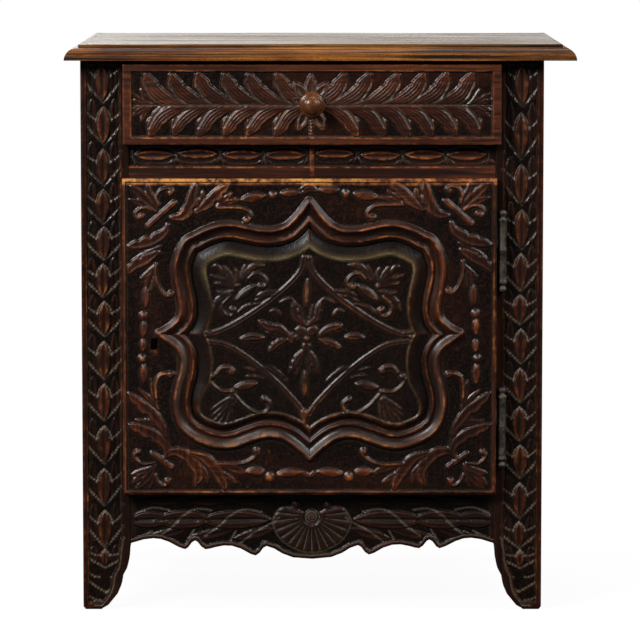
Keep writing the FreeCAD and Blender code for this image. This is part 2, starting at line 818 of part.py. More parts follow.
def drawer():
    low = "hole_bottom - drawer_lap_low"
    x = ("middle - inner - drawer_lap_side", "middle + inner + drawer_lap_side")
    blank = block("drawer_front_blank", x, ("drawer_face", "front - overlay_gap"),
                  (low, low + " + drawer_front_high"))
    field_x = inside(*x, "drawer_field_end")
    field_z = inside(low, low + " + drawer_front_high", "drawer_field_edge")
    field = block("drawer_field", field_x, ("drawer_face - drawer_field_sink", "drawer_face + drawer_field_sink"),
                  field_z)
    stem = rod("drawer_stem_hole", "knob_stem", "middle",
               ("drawer_face - drawer_field_sink", "front"), low + " + drawer_front_high / 2", "y")
    pad = rod("drawer_knob_seat", "knob_collar", "middle",
              ("drawer_face", "drawer_face + drawer_field_sink"), low + " + drawer_front_high / 2", "y")
    tools = [without("drawer_field_round_seat", field, [pad]), stem]
    sides_y = ("front - overlay_gap", "drawer_rear")
    sides_z = ("drawer_low", "drawer_high")
    groove_z = ("drawer_low + drawer_bottom_up", "drawer_low + drawer_bottom_up + drawer_bottom_thick")
    for hand, side in hands:
        tail = shaped("drawer_tails_" + hand, Part.makeCompound(tails(side)))
        tools.append(tail)
        board = block("drawer_side_blank_" + hand, beside(side, "drawer_out - drawer_side_thick", "drawer_out"),
                      sides_y, sides_z)
        groove = block("drawer_side_groove_" + hand,
                       beside(side, "drawer_out - drawer_side_thick",
                              "drawer_out - drawer_side_thick + drawer_groove"),
                       sides_y, groove_z)
        whole = joined("drawer_side_whole_" + hand, [board, tail])
        keep("drawer_side_" + hand, without("drawer_side_" + hand, whole, [groove]), "drawer")
    bottom_groove = block("drawer_front_groove", inside("middle - drawer_out", "middle + drawer_out",
                                                        "drawer_side_thick"),
                          ("front - overlay_gap - drawer_groove", "front - overlay_gap"), groove_z)
    tools.append(bottom_groove)
    keep("drawer_front", without("drawer_front", blank, tools), "drawer")
    in_x = inside("middle - drawer_out", "middle + drawer_out", "drawer_side_thick")
    back_y = (sides_y[1] + " - drawer_side_thick", sides_y[1])
    back_z = ("drawer_low + drawer_bottom_up + drawer_bottom_thick", "drawer_high")
    keep("drawer_back", block("drawer_back", in_x, back_y, back_z), "drawer")
    flat_x = inside("middle - drawer_out", "middle + drawer_out", "drawer_side_thick - drawer_groove")
    keep_clear = block("drawer_bottom_wide", flat_x, sides_y, groove_z)
    lip = block("drawer_bottom_lip", in_x, ("front - overlay_gap - drawer_groove", "front - overlay_gap"), groove_z)
    keep("drawer_bottom", joined("drawer_bottom", [keep_clear, lip]), "drawer")


# The door's cusped outline: across as shares of the side cusp's reach, up and down as
# shares of the upper and the lower cusp's reach, from the middle cusp to the side cusp
upper_cusp_shares = [
    (0.0, 1.0), (0.085, 0.878), (0.188, 0.791), (0.30, 0.777), (0.427, 0.802), (0.556, 0.823),
    (0.69, 0.78), (0.803, 0.709), (0.876, 0.573), (0.889, 0.437), (0.857, 0.272), (0.855, 0.146),
    (0.906, 0.066), (1.0, 0.0),
]
lower_cusp_shares = [
    (0.0, 1.0), (0.075, 0.917), (0.145, 0.854), (0.224, 0.816), (0.312, 0.816), (0.40, 0.854),
    (0.488, 0.891), (0.577, 0.907), (0.656, 0.895), (0.743, 0.854), (0.814, 0.80), (0.857, 0.727),
    (0.888, 0.632), (0.897, 0.527), (0.875, 0.41), (0.853, 0.23), (0.884, 0.104), (1.0, 0.0),
]


def cusped_wire(inset, depth):
    """The door's cusped outline, drawn in by inset, at a depth under the door's face."""
    wide = value("cusp_across") - inset
    up = value("cusp_up") - inset
    down = value("cusp_down") - inset
    centre_x = value("door_middle")
    level = value("cusp_level")
    y = value("door_face") + depth
    half = [(across_share * wide, up_share * up) for across_share, up_share in upper_cusp_shares]
    lower = [(across_share * wide, -up_share * down) for across_share, up_share in lower_cusp_shares]
    half += lower[-2::-1]
    whole = half + [(-across, rise) for across, rise in half[-2:0:-1]]
    points = [vector(centre_x + across, y, level + rise) for across, rise in whole]
    return Part.makePolygon(points + points[:1])


def cusped_prism(inset, near, far):
    return Part.makeLoft([cusped_wire(inset, near), cusped_wire(inset, far)], True, True)


def cusped_bevel(inset, near, wider, far):
    """A solid between the outline at one inset and depth and the outline at another."""
    return Part.makeLoft([cusped_wire(inset, near), cusped_wire(wider, far)], True, True)


def cusped_bead(inset, half, flat_half, base, proud):
    """A ridge along the outline, with sloping flanks and a flat back."""
    outer = cusped_bevel(inset - half, base, inset - flat_half, base - proud)
    inner = cusped_bevel(inset + half, base, inset + flat_half, base - proud)
    return outer.cut(inner)


def door_frame():
    deep = value("door_thick")
    cove_start = value("bead_half")
    cove_end = value("bead_half + cove_wide")
    cove_deep = value("cove_deep")
    x = ("door_left", "door_right")
    z = ("door_bottom", "door_top")
    blank = Part.makeBox(value("door_right - door_left"), deep, value("door_top - door_bottom"),
                         vector(value("door_left"), value("door_face"), value("door_bottom")))
    front_edges = [edge for edge in blank.Edges
                   if abs(edge.BoundBox.YMin - value("door_face")) < deep / 2
                   and edge.BoundBox.YLength < deep / 2]
    blank = blank.makeChamfer(value("door_edge_chamfer"), front_edges)
    opening = cusped_prism(value("sight_in"), 0, deep)
    cove = cusped_bevel(cove_start, 0, cove_end, cove_deep)
    lip = cusped_bevel(cove_end, cove_deep, value("inner_bead_in"), cove_deep - value("inner_bead_high"))
    frame = blank.cut(cove).fuse(lip).cut(opening)
    frame = frame.fuse(cusped_bead(0, value("bead_half"), value("bead_flat_half"), 0, value("bead_proud")))
    whole = shaped("door_frame_whole", frame.removeSplitter())
    rebate = block("door_rebate",
                   ("door_middle - cusp_across - rebate_past_cusp", "door_middle + cusp_across + rebate_past_cusp"),
                   ("door_behind - rebate_deep", "door_behind"),
                   ("cusp_level - cusp_down - rebate_past_cusp", "cusp_level + cusp_up + rebate_past_cusp"))
    keyhole = block("keyhole",
                    ("door_left + keyhole_from_edge - keyhole_wide / 2",
                     "door_left + keyhole_from_edge + keyhole_wide / 2"),
                    ("door_face - bead_proud", "door_behind"),
                    ("keyhole_height - keyhole_high / 2", "keyhole_height + keyhole_high / 2"))
    frame = without("door_frame", whole, [rebate, keyhole])
    y = ("door_face - bead_proud", "door_behind")
    left = ("door_left", "door_middle - stile_line")
    right = ("door_middle + stile_line", "door_right")
    between = (left[1], right[0])
    tenon_y = ("door_face + door_tenon_front", "door_face + door_tenon_front + door_tenon_thick")
    rails = {
        "top": (("cusp_level", "door_top"),
                ("door_top - door_tenon_low - door_tenon_long", "door_top - door_tenon_high")),
        "bottom": (("door_bottom", "cusp_level"),
                   ("door_bottom + door_tenon_high", "door_bottom + door_tenon_low + door_tenon_long")),
    }
    sockets = {"lock": [], "hinge": []}
    for name, (reach, tenon_z) in rails.items():
        body = shared(f"door_rail_{name}_body", frame, block(f"door_rail_{name}_slot", between, y, reach))
        tenons = [
            block(f"door_tenon_{name}_lock", (f"{between[0]} - door_tenon_long", between[0]), tenon_y, tenon_z),
            block(f"door_tenon_{name}_hinge", (between[1], f"{between[1]} + door_tenon_long"), tenon_y, tenon_z),
        ]
        keep("door_rail_" + name, joined("door_rail_" + name, [body] + tenons), "door")
        lock_x = (f"{between[0]} - door_tenon_long", between[0])
        hinge_x = (between[1], f"{between[1]} + door_tenon_long")
        sockets["lock"].append(block(f"door_mortise_{name}_lock", lock_x, tenon_y, tenon_z))
        sockets["hinge"].append(block(f"door_mortise_{name}_hinge", hinge_x, tenon_y, tenon_z))
    sockets["hinge"] += [leaf_of_door(level, "slot") for level in ("hinge_upper", "hinge_lower")]
    for name, reach in (("lock", left), ("hinge", right)):
        body = shared(f"door_stile_{name}_body", frame, block(f"door_stile_{name}_slot", reach, y, z))
        keep("door_stile_" + name, without("door_stile_" + name, body, sockets[name]), "door")


def strap(points, half, base, proud):
    """One bowed strap of the panel's diamond, a flat bar along an arc through three points."""
    start, bend, end = points
    circle = Part.Arc(start, bend, end).toShape().Curve
    centre = circle.Center
    radius = circle.Radius

    def moved(point, by):
        outward = (point - centre).normalize()
        return centre + outward * (radius + by)

    inner = [moved(point, -half) for point in points]
    outer = [moved(point, half) for point in points]
    edges = [Part.Arc(*inner).toShape(), Part.Arc(*outer).toShape(),
             Part.makeLine(inner[0], outer[0]), Part.makeLine(inner[2], outer[2])]
    return face_of(edges).extrude(vector(0, -proud, 0))


def door_panel():
    thin = value("panel_play")
    sight = value("sight_in") + thin
    back_y = value("door_thick")
    rebate_front = value("door_thick - rebate_deep")
    lip = value("panel_under_face")
    field = value("field_under_face")
    body = cusped_prism(sight, lip, back_y)
    body = body.fuse(cusped_bevel(sight, lip, value("field_in"), field))
    plate = Part.makeBox(value("(cusp_across + rebate_past_cusp - panel_play) * 2"), back_y - rebate_front,
                         value("cusp_up + cusp_down + (rebate_past_cusp - panel_play) * 2"),
                         vector(value("door_middle - cusp_across - rebate_past_cusp + panel_play"),
                                value("door_face") + rebate_front,
                                value("cusp_level - cusp_down - rebate_past_cusp + panel_play")))
    body = body.fuse(plate)
    top = value("door_face") + field
    centre = vector(value("door_middle"), top, value("cusp_level"))
    wide = value("cusp_across - diamond_in_side")
    reaches = {1: value("cusp_up - diamond_in_top"), -1: value("cusp_down - diamond_in_bottom")}
    bow_share = 0.30
    high = value("strap_high")
    for side in (-1, 1):
        for sense, tall in reaches.items():
            start = centre + vector(side * wide, 0, 0)
            bend = centre + vector(side * wide * bow_share, 0, sense * tall * bow_share)
            end = centre + vector(0, 0, sense * tall)
            body = body.fuse(strap((start, bend, end), value("strap_half"), top, high))
    boss = Part.makeCylinder(value("boss_radius"), high, centre, vector(0, -1, 0))
    body = body.fuse(boss).removeSplitter()
    keep("door_panel", shaped("door_panel", body), "door")


# Hinges: a turned barrel on the post, one on the door and a pin through both

def leaf_of_post(level, kind):
    z = (f"{level} - barrel_long + leaf_end", f"{level} - leaf_end")
    x = ("hinge_x - leaf_thick / 2", "hinge_x + leaf_thick / 2")
    return block(f"{level}_post_leaf_{kind}", x, ("hinge_y", "front + leaf_deep"), z)


def leaf_of_door(level, kind):
    z = (f"{level} + leaf_end", f"{level} + barrel_long - leaf_end")
    y = ("hinge_y - leaf_thick / 2", "hinge_y + leaf_thick / 2")
    return block(f"{level}_door_leaf_{kind}", ("door_right - leaf_deep", "hinge_x"), y, z)


def barrel(level, half, bore):
    """A barrel with its collar and finial, standing up from the hinge's parting line."""
    collar = "barrel_gap / 2 + barrel_long"
    outline = [
        ("barrel_radius", "barrel_gap / 2"),
        ("barrel_radius", collar),
        ("collar_radius", collar),
        ("finial_tip", collar + " + finial_high"),
        ("0", collar + " + finial_high"),
        ("0", "pin_half + mortise_deeper"),
        (bore, "pin_half + mortise_deeper"),
        (bore, "barrel_gap / 2"),
    ]
    body = turned(f"{level}_{half}", outline)
    if half == "post":
        body.Placement = FreeCAD.Placement(vector(), FreeCAD.Rotation(vector(1, 0, 0), 180))
    bind(body, "Placement.Base.x", "hinge_x")
    bind(body, "Placement.Base.y", "hinge_y")
    bind(body, "Placement.Base.z", level)
    return body


def hinges():
    for level in ("hinge_upper", "hinge_lower"):
        for half, body, leaf, bore in (("post", "root", leaf_of_post, "pin_radius"),
                                       ("door", "door", leaf_of_door, "pin_radius + pin_play")):
            name = f"{level}_{half}_half"
            hole = rod(name + "_hole", bore, "hinge_x", "hinge_y",
                       (f"{level} - pin_half - mortise_deeper", f"{level} + pin_half + mortise_deeper"))
            plate = without(name + "_leaf", leaf(level, "plate"), [hole])
            keep(name, joined(name, [barrel(level, half, bore), plate]), body)
        ends = (f"{level} - pin_half", f"{level} + pin_half")
        pin = rod(level + "_pin", "pin_radius", "hinge_x", "hinge_y", ends)
        keep(level + "_pin", pin, "root")


# The lock behind the door and its bolt

def bolt_box(name, left, right, play):
    y = ("door_behind + bolt_from_door", "door_behind + bolt_from_door + bolt_thick")
    z = ("keyhole_height - bolt_high / 2", "keyhole_height + bolt_high / 2")
    deep = (f"{y[0]} - {play}", f"{y[1]} + {play}")
    return block(name, (left, right), deep, (f"{z[0]} - {play}", f"{z[1]} + {play}"))


def bolt_mortise():
    return bolt_box("bolt_mortise", "middle - inner - bolt_throw - mortise_deeper * 2",
                    "middle - inner + mortise_deeper", "bolt_play * 2")


def lock():
    case = block("lock_case_blank", ("lock_left", "lock_left + lock_wide"),
                 ("door_behind", "door_behind + lock_thick"),
                 ("keyhole_height - lock_high / 2", "keyhole_height + lock_high / 2"))
    channel = bolt_box("bolt_channel", "lock_left", "lock_left + bolt_inside + bolt_long + bolt_play", "bolt_play")
    keep("lock_case", without("lock_case", case, [channel]), "door")
    bolt = bolt_box("lock_bolt", "lock_left + bolt_inside", "lock_left + bolt_inside + bolt_long", "0")
    keep("lock_bolt", bolt, "lock_bolt")


# The whole cabinet
top_planks()
for hand, side in hands:
    front_post(hand, side)
    rear_post(hand, side)
    side_frame(hand, side)
front_rail("front_rail_top")
front_rail("front_rail_middle")
apron()
joint_pegs()
back()
floor_and_shelf()
drawer_ways()
drawer()
knob()
door_frame()
door_panel()
hinges()
lock()
doc.recompute()

for thing in doc.Objects:
    faults = [state for state in thing.State if state in ("Invalid", "Error")]
    assert not faults, (thing.Name, thing.State)
total = 0
for name, (piece, body) in kept.items():
    shape = piece.Shape
    assert not shape.isNull() and shape.isValid(), name
    piece.Shape.exportStep(f"parts/{name}.step")
    total += 1
    print(f"{body:10s} {name:28s} solids {len(shape.Solids)} volume {shape.Volume / 1000:9.1f} cm3")
print(total, "sub-parts")
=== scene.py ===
import bpy
import math
import numpy as np
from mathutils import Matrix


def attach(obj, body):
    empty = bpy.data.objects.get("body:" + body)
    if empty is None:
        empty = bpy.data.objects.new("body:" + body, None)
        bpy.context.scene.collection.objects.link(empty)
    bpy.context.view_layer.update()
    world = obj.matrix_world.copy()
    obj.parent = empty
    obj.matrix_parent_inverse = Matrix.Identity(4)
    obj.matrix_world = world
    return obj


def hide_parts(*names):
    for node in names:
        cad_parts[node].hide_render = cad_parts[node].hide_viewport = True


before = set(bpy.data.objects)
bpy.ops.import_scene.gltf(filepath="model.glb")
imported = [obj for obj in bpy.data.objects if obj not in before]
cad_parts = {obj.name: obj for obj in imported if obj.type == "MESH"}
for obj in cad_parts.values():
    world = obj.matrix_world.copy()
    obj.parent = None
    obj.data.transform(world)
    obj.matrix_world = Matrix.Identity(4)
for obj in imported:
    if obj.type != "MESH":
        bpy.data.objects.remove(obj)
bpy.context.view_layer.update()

# Millimetres: x from the middle of the case, z from the floor, and y from front to back as the frame has it
MIDDLE = -12.9
FRONT = -212.35
INNER = 285.0
OUTER = 360.0
CASE_TOP = 864.0
CASE_DEPTH = 465.0
BOARD = 25.0
# Places on the door are taken from the middle of its width, its face, and the level of its side cusps
DOOR_MIDDLE = -4.0
DOOR_HALF = 291.0
DOOR_LEVEL = 439.0
DOOR_TOP = 242.0
DOOR_LOW = -253.0
DOOR_FACE = FRONT - 24.3
DOOR_THICK = 24.0
SHOULDER = 177.0
SIGHT = 22.0
REBATE_SIDE = 240.0
REBATE_TOP = 212.0
REBATE_LOW = 201.0
REBATE_FRONT = 15.0
KEY_X = -242
KEY_Z = -16
PIN_X = 296.0
PIN_Y = -221.35
DRAWER_FACE = FRONT - 20.3
DRAWER_Z = 795.75
DRAWER_THICK = 20.0
LATTICE = 97
# The three marks that a carved face carries: wear and dust, both also carrying some painted highlight, and how far up
# it stands, with painted shade in its creases
WEAR_AND_HIGHLIGHT, DUST_AND_HIGHLIGHT, LIFT = range(3)


# Surfaces and solids

def s_curve(share):
    """3s^2 - 2s^3."""
    return share * share * (3 - 2 * share)


def noise(u, v, cell, seed):
    """Values between -1 and 1: random numbers on a square lattice of that cell, joined by an s curve."""
    lattice = np.random.default_rng(seed).uniform(-1, 1, (LATTICE, LATTICE))
    p, q = u / cell, v / cell
    i, j = np.floor(p).astype(int), np.floor(q).astype(int)
    f, g = s_curve(p - i), s_curve(q - j)
    left, right, low, high = i % LATTICE, (i + 1) % LATTICE, j % LATTICE, (j + 1) % LATTICE
    near = lattice[left, low] * (1 - f) + lattice[right, low] * f
    far = lattice[left, high] * (1 - f) + lattice[right, high] * f
    return near * (1 - g) + far * g


def ease(value, low, high):
    """0 below low, 1 above high and an s curve between them."""
    return s_curve(np.clip((value - low) / (high - low), 0, 1))


def softened(height, reach):
    """The mean over a square of 2 reach + 1 grid steps, from running sums along rows and columns."""
    for axis in (0, 1):
        pad = [(0, 0), (0, 0)]
        pad[axis] = (reach + 1, reach)
        total = np.cumsum(np.pad(height, pad, mode="edge"), axis=axis)
        upper = np.take(total, np.arange(2 * reach + 1, total.shape[axis]), axis=axis)
        lower = np.take(total, np.arange(0, total.shape[axis] - 2 * reach - 1), axis=axis)
        height = (upper - lower) / (2 * reach + 1)
    return height


def made(name, points, faces, body, material, replaced, marks=None, smooth=50):
    """A piece from points in millimetres and its faces: arrays of equal-sided faces, or single rings.

    Turned inside out if its volume, the sum of a . (b x c) / 6 over its triangles, is negative.
    """
    points = np.asarray(points, float).reshape(-1, 3)
    blocks = [np.atleast_2d(block) for block in faces]
    volume = 0.0
    for block in blocks:
        normals = np.cross(points[block], points[np.roll(block, -1, axis=1)]).sum(axis=1)
        volume += (points[block[:, 0]] * normals).sum() / 6
    if volume < 0:
        blocks = [block[:, ::-1] for block in blocks]
    sides = np.concatenate([np.full(len(block), block.shape[1]) for block in blocks])
    corners = np.concatenate([block.ravel() for block in blocks])
    mesh = bpy.data.meshes.new(name)
    mesh.vertices.add(len(points))
    mesh.vertices.foreach_set("co", ((points + (MIDDLE, 0, 0)) / 1000).ravel())
    mesh.loops.add(len(corners))
    mesh.loops.foreach_set("vertex_index", corners.astype(np.int32))
    mesh.polygons.add(len(sides))
    mesh.polygons.foreach_set("loop_start", (np.cumsum(sides) - sides).astype(np.int32))
    mesh.update(calc_edges=True)
    mesh.validate()
    mesh.shade_smooth()
    mesh.set_sharp_from_angle(angle=math.radians(smooth))
    if marks is not None:
        layer = mesh.attributes.new("carving", "FLOAT_VECTOR", "POINT")
        layer.data.foreach_set("vector", np.asarray(marks, float).ravel())
    mesh.materials.append(material)
    piece = bpy.data.objects.new(name, mesh)
    bpy.context.scene.collection.objects.link(piece)
    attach(piece, body)
    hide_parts(*replaced)


def quads(rows, columns, closed=False, first=0):
    """The four-sided faces of a grid of points counted row by row; closed joins its last column to the first."""
    i, j = np.meshgrid(np.arange(rows - 1), np.arange(columns if closed else columns - 1), indexing="ij")
    k = (j + 1) % columns
    corners = (i * columns + j, i * columns + k, (i + 1) * columns + k, (i + 1) * columns + j)
    return first + np.stack(corners, axis=-1).reshape(-1, 4)


def tube(rows, columns, first=0):
    """The faces of closed rings of points, with each end closed by one face."""
    ring = first + np.arange(columns)[None, :]
    return [quads(rows, columns, True, first), ring[:, ::-1], ring + (rows - 1) * columns]


def closed_sheet(sheet, axis, level):
    """Points, faces and rim of a solid: a sheet (rows, columns, 3) with its rim carried to a level of one axis."""
    rows, columns = sheet.shape[:2]
    index = np.arange(rows * columns).reshape(rows, columns)
    rim = np.concatenate([index[0, :-1], index[:-1, -1], index[-1, :0:-1], index[:0:-1, 0]])
    edge = sheet.reshape(-1, 3)[rim].copy()
    edge[:, axis] = level
    far = index.size + np.arange(len(rim))
    walls = np.stack([rim, far, np.roll(far, -1), np.roll(rim, -1)], axis=-1)
    return np.concatenate([sheet.reshape(-1, 3), edge]), [quads(rows, columns), walls, far[None, :]], rim


def board(name, sheet, back, body, material, replaced, marks):
    """A solid behind a carved sheet, whose rim goes straight back to y = back."""
    points, faces, rim = closed_sheet(sheet, 1, back)
    flat = marks.reshape(-1, 3)
    made(name, points, faces, body, material, replaced, np.concatenate([flat, flat[rim] * (0.3, 0, 1)]))


def sleeve(name, rings, body, material, replaced, marks=None, smooth=50):
    """A solid from closed rings of points (rows, columns, 3)."""
    made(name, rings, tube(*rings.shape[:2]), body, material, replaced, marks, smooth)


def lathe_points(profile, sides, centre, upright):
    """Points at radius r(t) and height h(t) turned about an upright axis through the centre, or one to the front."""
    angle = np.arange(sides) * 2 * math.pi / sides
    across, over = profile[:, :1] * np.cos(angle), profile[:, :1] * np.sin(angle)
    height = np.repeat(profile[:, 1:2], sides, axis=1)
    x, y, z = centre
    return np.stack([x + across, y + over, z + height] if upright else [x + across, y - height, z + over], axis=-1)


def curve(points, span=7):
    """A smooth line through the points: each span p(t) is a cubic set by its two ends and their neighbours."""
    p = np.asarray(points, float)
    if len(p) < 3:
        return p
    q = np.concatenate([2 * p[:1] - p[1:2], p, 2 * p[-1:] - p[-2:-1]])
    t = np.linspace(0, 1, span, endpoint=False)[None, :, None]
    a, b, c, d = (q[k:len(q) - 3 + k][:, None, :] for k in range(4))
    line = 0.5 * (2 * b + (c - a) * t + (2 * a - 5 * b + 4 * c - d) * t ** 2 + (3 * b - a - 3 * c + d) * t ** 3)
    return np.concatenate([line.reshape(-1, 2), p[-1:]])


# Widths along a stroke, as shares of its half width at shares of its length
BLADE = ((0, 0.25, 0.55, 0.82, 1), (0.45, 0.8, 1, 0.75, 0.15))
BROAD = ((0, 0.15, 0.35, 0.6, 0.8, 0.92, 1), (0.3, 0.6, 0.92, 1, 0.85, 0.55, 0.2))
CURL = ((0, 0.6, 0.85, 1), (0.7, 0.8, 0.9, 1.1))
LENS = ((0, 0.08, 0.2, 0.35, 0.5, 0.65, 0.8, 0.92, 1), (0.1, 0.42, 0.72, 0.93, 1, 0.93, 0.72, 0.42, 0.1))
FULL = ((0, 0.1, 0.3, 0.5, 0.7, 0.9, 1), (0.2, 0.6, 0.95, 1, 0.95, 0.6, 0.2))
LEAFY = ((0, 0.2, 0.45, 0.66, 0.74, 0.82, 0.9, 1), (0.15, 0.5, 0.9, 1, 0.84, 0.98, 0.78, 0.4))
EVEN = ((0, 1), (1, 1))


def round_section(r, side):
    """The square root of 1 - r^2."""
    return np.sqrt(np.maximum(1 - r * r, 0))


def leaf_section(r, side):
    """Two swelling halves: 0.7 + 0.3 sin(pi r), falling to 0 at the edge, less a vein along the middle."""
    return (0.7 + 0.3 * np.sin(math.pi * r) - 0.22 * np.exp(-(r / 0.14) ** 2)) * (1 - ease(r, 0.72, 1))


def hollow_section(r, side):
    """A gouged hollow: 0.6 + 0.4 r^2 towards its raised lip, 0.6 + 0.12 r away from it, falling to 0 at the edge."""
    return (0.6 + 0.4 * np.where(side > 0, r * r, 0.3 * r)) * (1 - ease(r, 0.78, 1))


def dished_section(r, side):
    """A hollow between two raised lips: 0.36 + 0.64 r^2, falling to 0 at the edge."""
    return (0.36 + 0.64 * r * r) * (1 - ease(r, 0.8, 1))


def scoop_section(r, side):
    """A shallow hollow: 0.68 + 0.32 r^2, falling to 0 at the edge."""
    return (0.68 + 0.32 * r * r) * (1 - ease(r, 0.82, 1))


def broad_section(r, side):
    """Almost flat: 0.95 - 0.12 r, falling to 0 over the last 0.16 of r."""
    return (0.95 - 0.12 * r) * (1 - ease(r, 0.84, 1))


def flat_section(r, side):
    """1 across the top, falling to 0 over the last 0.28 of r."""
    return 1 - ease(r, 0.72, 1)


class Relief:
    """Heights of a carved face over points (x, z), in millimetres proud of its own plane."""

    def __init__(self, x, z, height=0.0):
        self.shape = x.shape
        self.x = x.ravel()
        self.z = z.ravel()
        self.h = np.broadcast_to(np.asarray(height, float), x.shape).ravel().copy()
        self.dust = np.zeros(self.h.size)

    def beside(self, path, reach):
        """The points within reach of a path: their distance to it, their side of it, and the share of its length."""
        low = path.min(0) - reach
        high = path.max(0) + reach
        pick = np.flatnonzero((self.x > low[0]) & (self.x < high[0]) & (self.z > low[1]) & (self.z < high[1]))
        x = self.x[pick][:, None]
        z = self.z[pick][:, None]
        start = path[:-1]
        run = np.diff(path, axis=0)
        long = np.maximum(np.hypot(run[:, 0], run[:, 1]), 1e-9)
        along = np.clip(((x - start[:, 0]) * run[:, 0] + (z - start[:, 1]) * run[:, 1]) / long ** 2, 0, 1)
        dx = x - start[:, 0] - along * run[:, 0]
        dz = z - start[:, 1] - along * run[:, 1]
        away = np.hypot(dx, dz)
        best = away.argmin(1)
        row = np.arange(len(pick))
        side = np.sign(run[best, 0] * dz[row, best] - run[best, 1] * dx[row, best])
        reached = np.concatenate([[0], np.cumsum(long)])
        share = (reached[best] + along[row, best] * long[best]) / reached[-1]
        return pick, away[row, best], side, share

    def raised(self, points, half, crest, foot, section=round_section, widths=BLADE, ribs=0, line=0.18, lobes=0):
        """A raised stroke: foot + (crest - foot) times the section of distance / half width; the higher form wins.

        Its ribs are lengthwise lines, a cosine of the distance, as deep as that share of its height. On the side
        whose sign is that of lobes, two notches, bell curves of the share, cut away 0.38 of the width.
        """
        path = curve(points)
        pick, away, side, share = self.beside(path, half + 1)
        if not len(pick):
            return
        width = half * np.interp(share, *widths)
        if lobes:
            notch = np.exp(-((share - 0.5) / 0.05) ** 2) + np.exp(-((share - 0.76) / 0.05) ** 2)
            width = width * np.where(side * lobes > 0, 1.1 - 0.38 * notch, 0.85)
        r = away / np.maximum(width, 0.05)
        rise = section(np.minimum(r, 1), side)
        if ribs:
            rise = rise - line * (0.5 - 0.5 * np.cos(2 * math.pi * ribs * np.minimum(r, 1))) * (r < 0.95)
        form = foot + (crest - foot) * rise
        self.h[pick] = np.where(r < 1, np.maximum(self.h[pick], form), self.h[pick])

    def dot(self, x, z, radius, crest, foot, ring=False):
        """A boss: foot + (crest - foot) times the root of 1 - r^2, with a sunk ring at 0.6 of its radius if asked."""
        pick = np.flatnonzero((abs(self.x - x) < radius) & (abs(self.z - z) < radius))
        r = np.hypot(self.x[pick] - x, self.z[pick] - z) / radius
        rise = np.sqrt(np.maximum(1 - r * r, 0))
        if ring:
            rise = rise - 0.35 * np.exp(-((r - 0.6) / 0.13) ** 2)
        self.h[pick] = np.where(r < 1, np.maximum(self.h[pick], foot + (crest - foot) * rise), self.h[pick])

    def cut(self, points, half, depth, dusty=0.0, beads=0.0, widths=EVEN):
        """A V groove: depth (1 - distance / half) deep, with punched beads a sine of the run along it."""
        path = curve(points)
        pick, away, side, share = self.beside(path, half + 1)
        if not len(pick):
            return
        width = half * np.interp(share, *widths)
        r = np.minimum(away / np.maximum(width, 0.05), 1)
        deep = depth * (1 - r)
        if beads:
            run = np.hypot(*np.diff(path, axis=0).T).sum() * share
            beat = 0.5 + 0.5 * np.sin(2 * math.pi * run / beads)
            deep = deep * (1 - 0.75 * beat)
            self.dust[pick] = np.maximum(self.dust[pick], dusty * (1 - r ** 2) * (0.2 + 0.8 * beat))
        else:
            self.dust[pick] = np.maximum(self.dust[pick], dusty * (1 - r))
        self.h[pick] -= deep

    def grid(self):
        """The heights in rows and columns."""
        return self.h.reshape(self.shape)

    def settle(self, face, blend):
        """Takes the finished face, and leaves dust only where the carving shows."""
        self.h = face.ravel()
        self.dust = (self.dust.reshape(self.shape) * blend).ravel()

    def marks(self, ground):
        """Wear where it stands above the mean of its surroundings, dust where it lies below, and how far up it is, less
        where it lies below its surroundings: painted shade in the creases, with dark wax.
        """
        h = self.grid()
        near = h - softened(h, 3)
        wide = h - softened(h, 9)
        worn = np.clip(near / 0.9, 0, 1) * 0.6 + np.clip(wide / 3.0, 0, 1) * 0.15
        worn = worn * (0.6 + 0.6 * noise(self.x.reshape(self.shape), self.z.reshape(self.shape), 60, 97))
        held = np.clip(-near / 1.3 - 0.15, 0, 1) * 0.16 + self.dust.reshape(self.shape)
        # In creases the lift falls, so they take the ground's dark colour: painted shade, along with dark wax
        lift = np.clip((h - ground) / -ground, 0, 1) * (1 - 0.8 * np.clip(-near / 0.7, 0, 1))
        return np.stack([np.clip(worn, 0, 0.8), np.clip(held, 0, 1), lift], axis=-1)


def more(marks, kind, amount, most=1.0):
    """Adds to one kind of mark, and holds it between 0 and the most that it may be."""
    marks[..., kind] = np.clip(marks[..., kind] + amount, 0, most)


def with_sides(front, sides):
    """Rings that begin with a carved face and go on through plain sides, each given as its x, y and z."""
    return np.concatenate([front] + [np.stack(np.broadcast_arrays(*side), axis=-1)[:, None] for side in sides], axis=1)


def with_plain(marks, columns, wear=0.0):
    """The marks of a carved face, then columns of plain wood: that wear, no dust, well above the ground."""
    return np.concatenate([marks, np.tile((wear, 0, 0.8), (len(marks), columns, 1))], axis=1)


# Finishes

def shade(name):
    """A material with its node tree, its shader and its Object coordinates."""
    material = bpy.data.materials.new(name)
    material.use_nodes = True
    tree = material.node_tree
    return material, tree, tree.nodes["Principled BSDF"], tree.nodes.new("ShaderNodeTexCoord").outputs["Object"]


def link(tree, source, node, socket):
    """Leads a value to a node's input of that name or number."""
    tree.links.new(source, node.inputs[socket])


def stretched(tree, place, grain, across, along, moved=0.0):
    """The object's coordinates scaled by across, and by along in the direction of the grain, then moved."""
    mapping = tree.nodes.new("ShaderNodeMapping")
    mapping.vector_type = "POINT"
    mapping.inputs["Location"].default_value = (moved, moved, moved)
    mapping.inputs["Scale"].default_value = [along if axis == grain else across for axis in "xyz"]
    link(tree, place, mapping, "Vector")
    return mapping.outputs["Vector"]


def cloud(tree, place, scale, detail=3.0, roughness=0.55, distortion=0.0):
    """Cloudy noise between 0 and 1, in cells of 1 / scale."""
    texture = tree.nodes.new("ShaderNodeTexNoise")
    texture.inputs["Scale"].default_value = scale
    texture.inputs["Detail"].default_value = detail
    texture.inputs["Roughness"].default_value = roughness
    texture.inputs["Distortion"].default_value = distortion
    link(tree, place, texture, "Vector")
    return texture.outputs["Fac"]


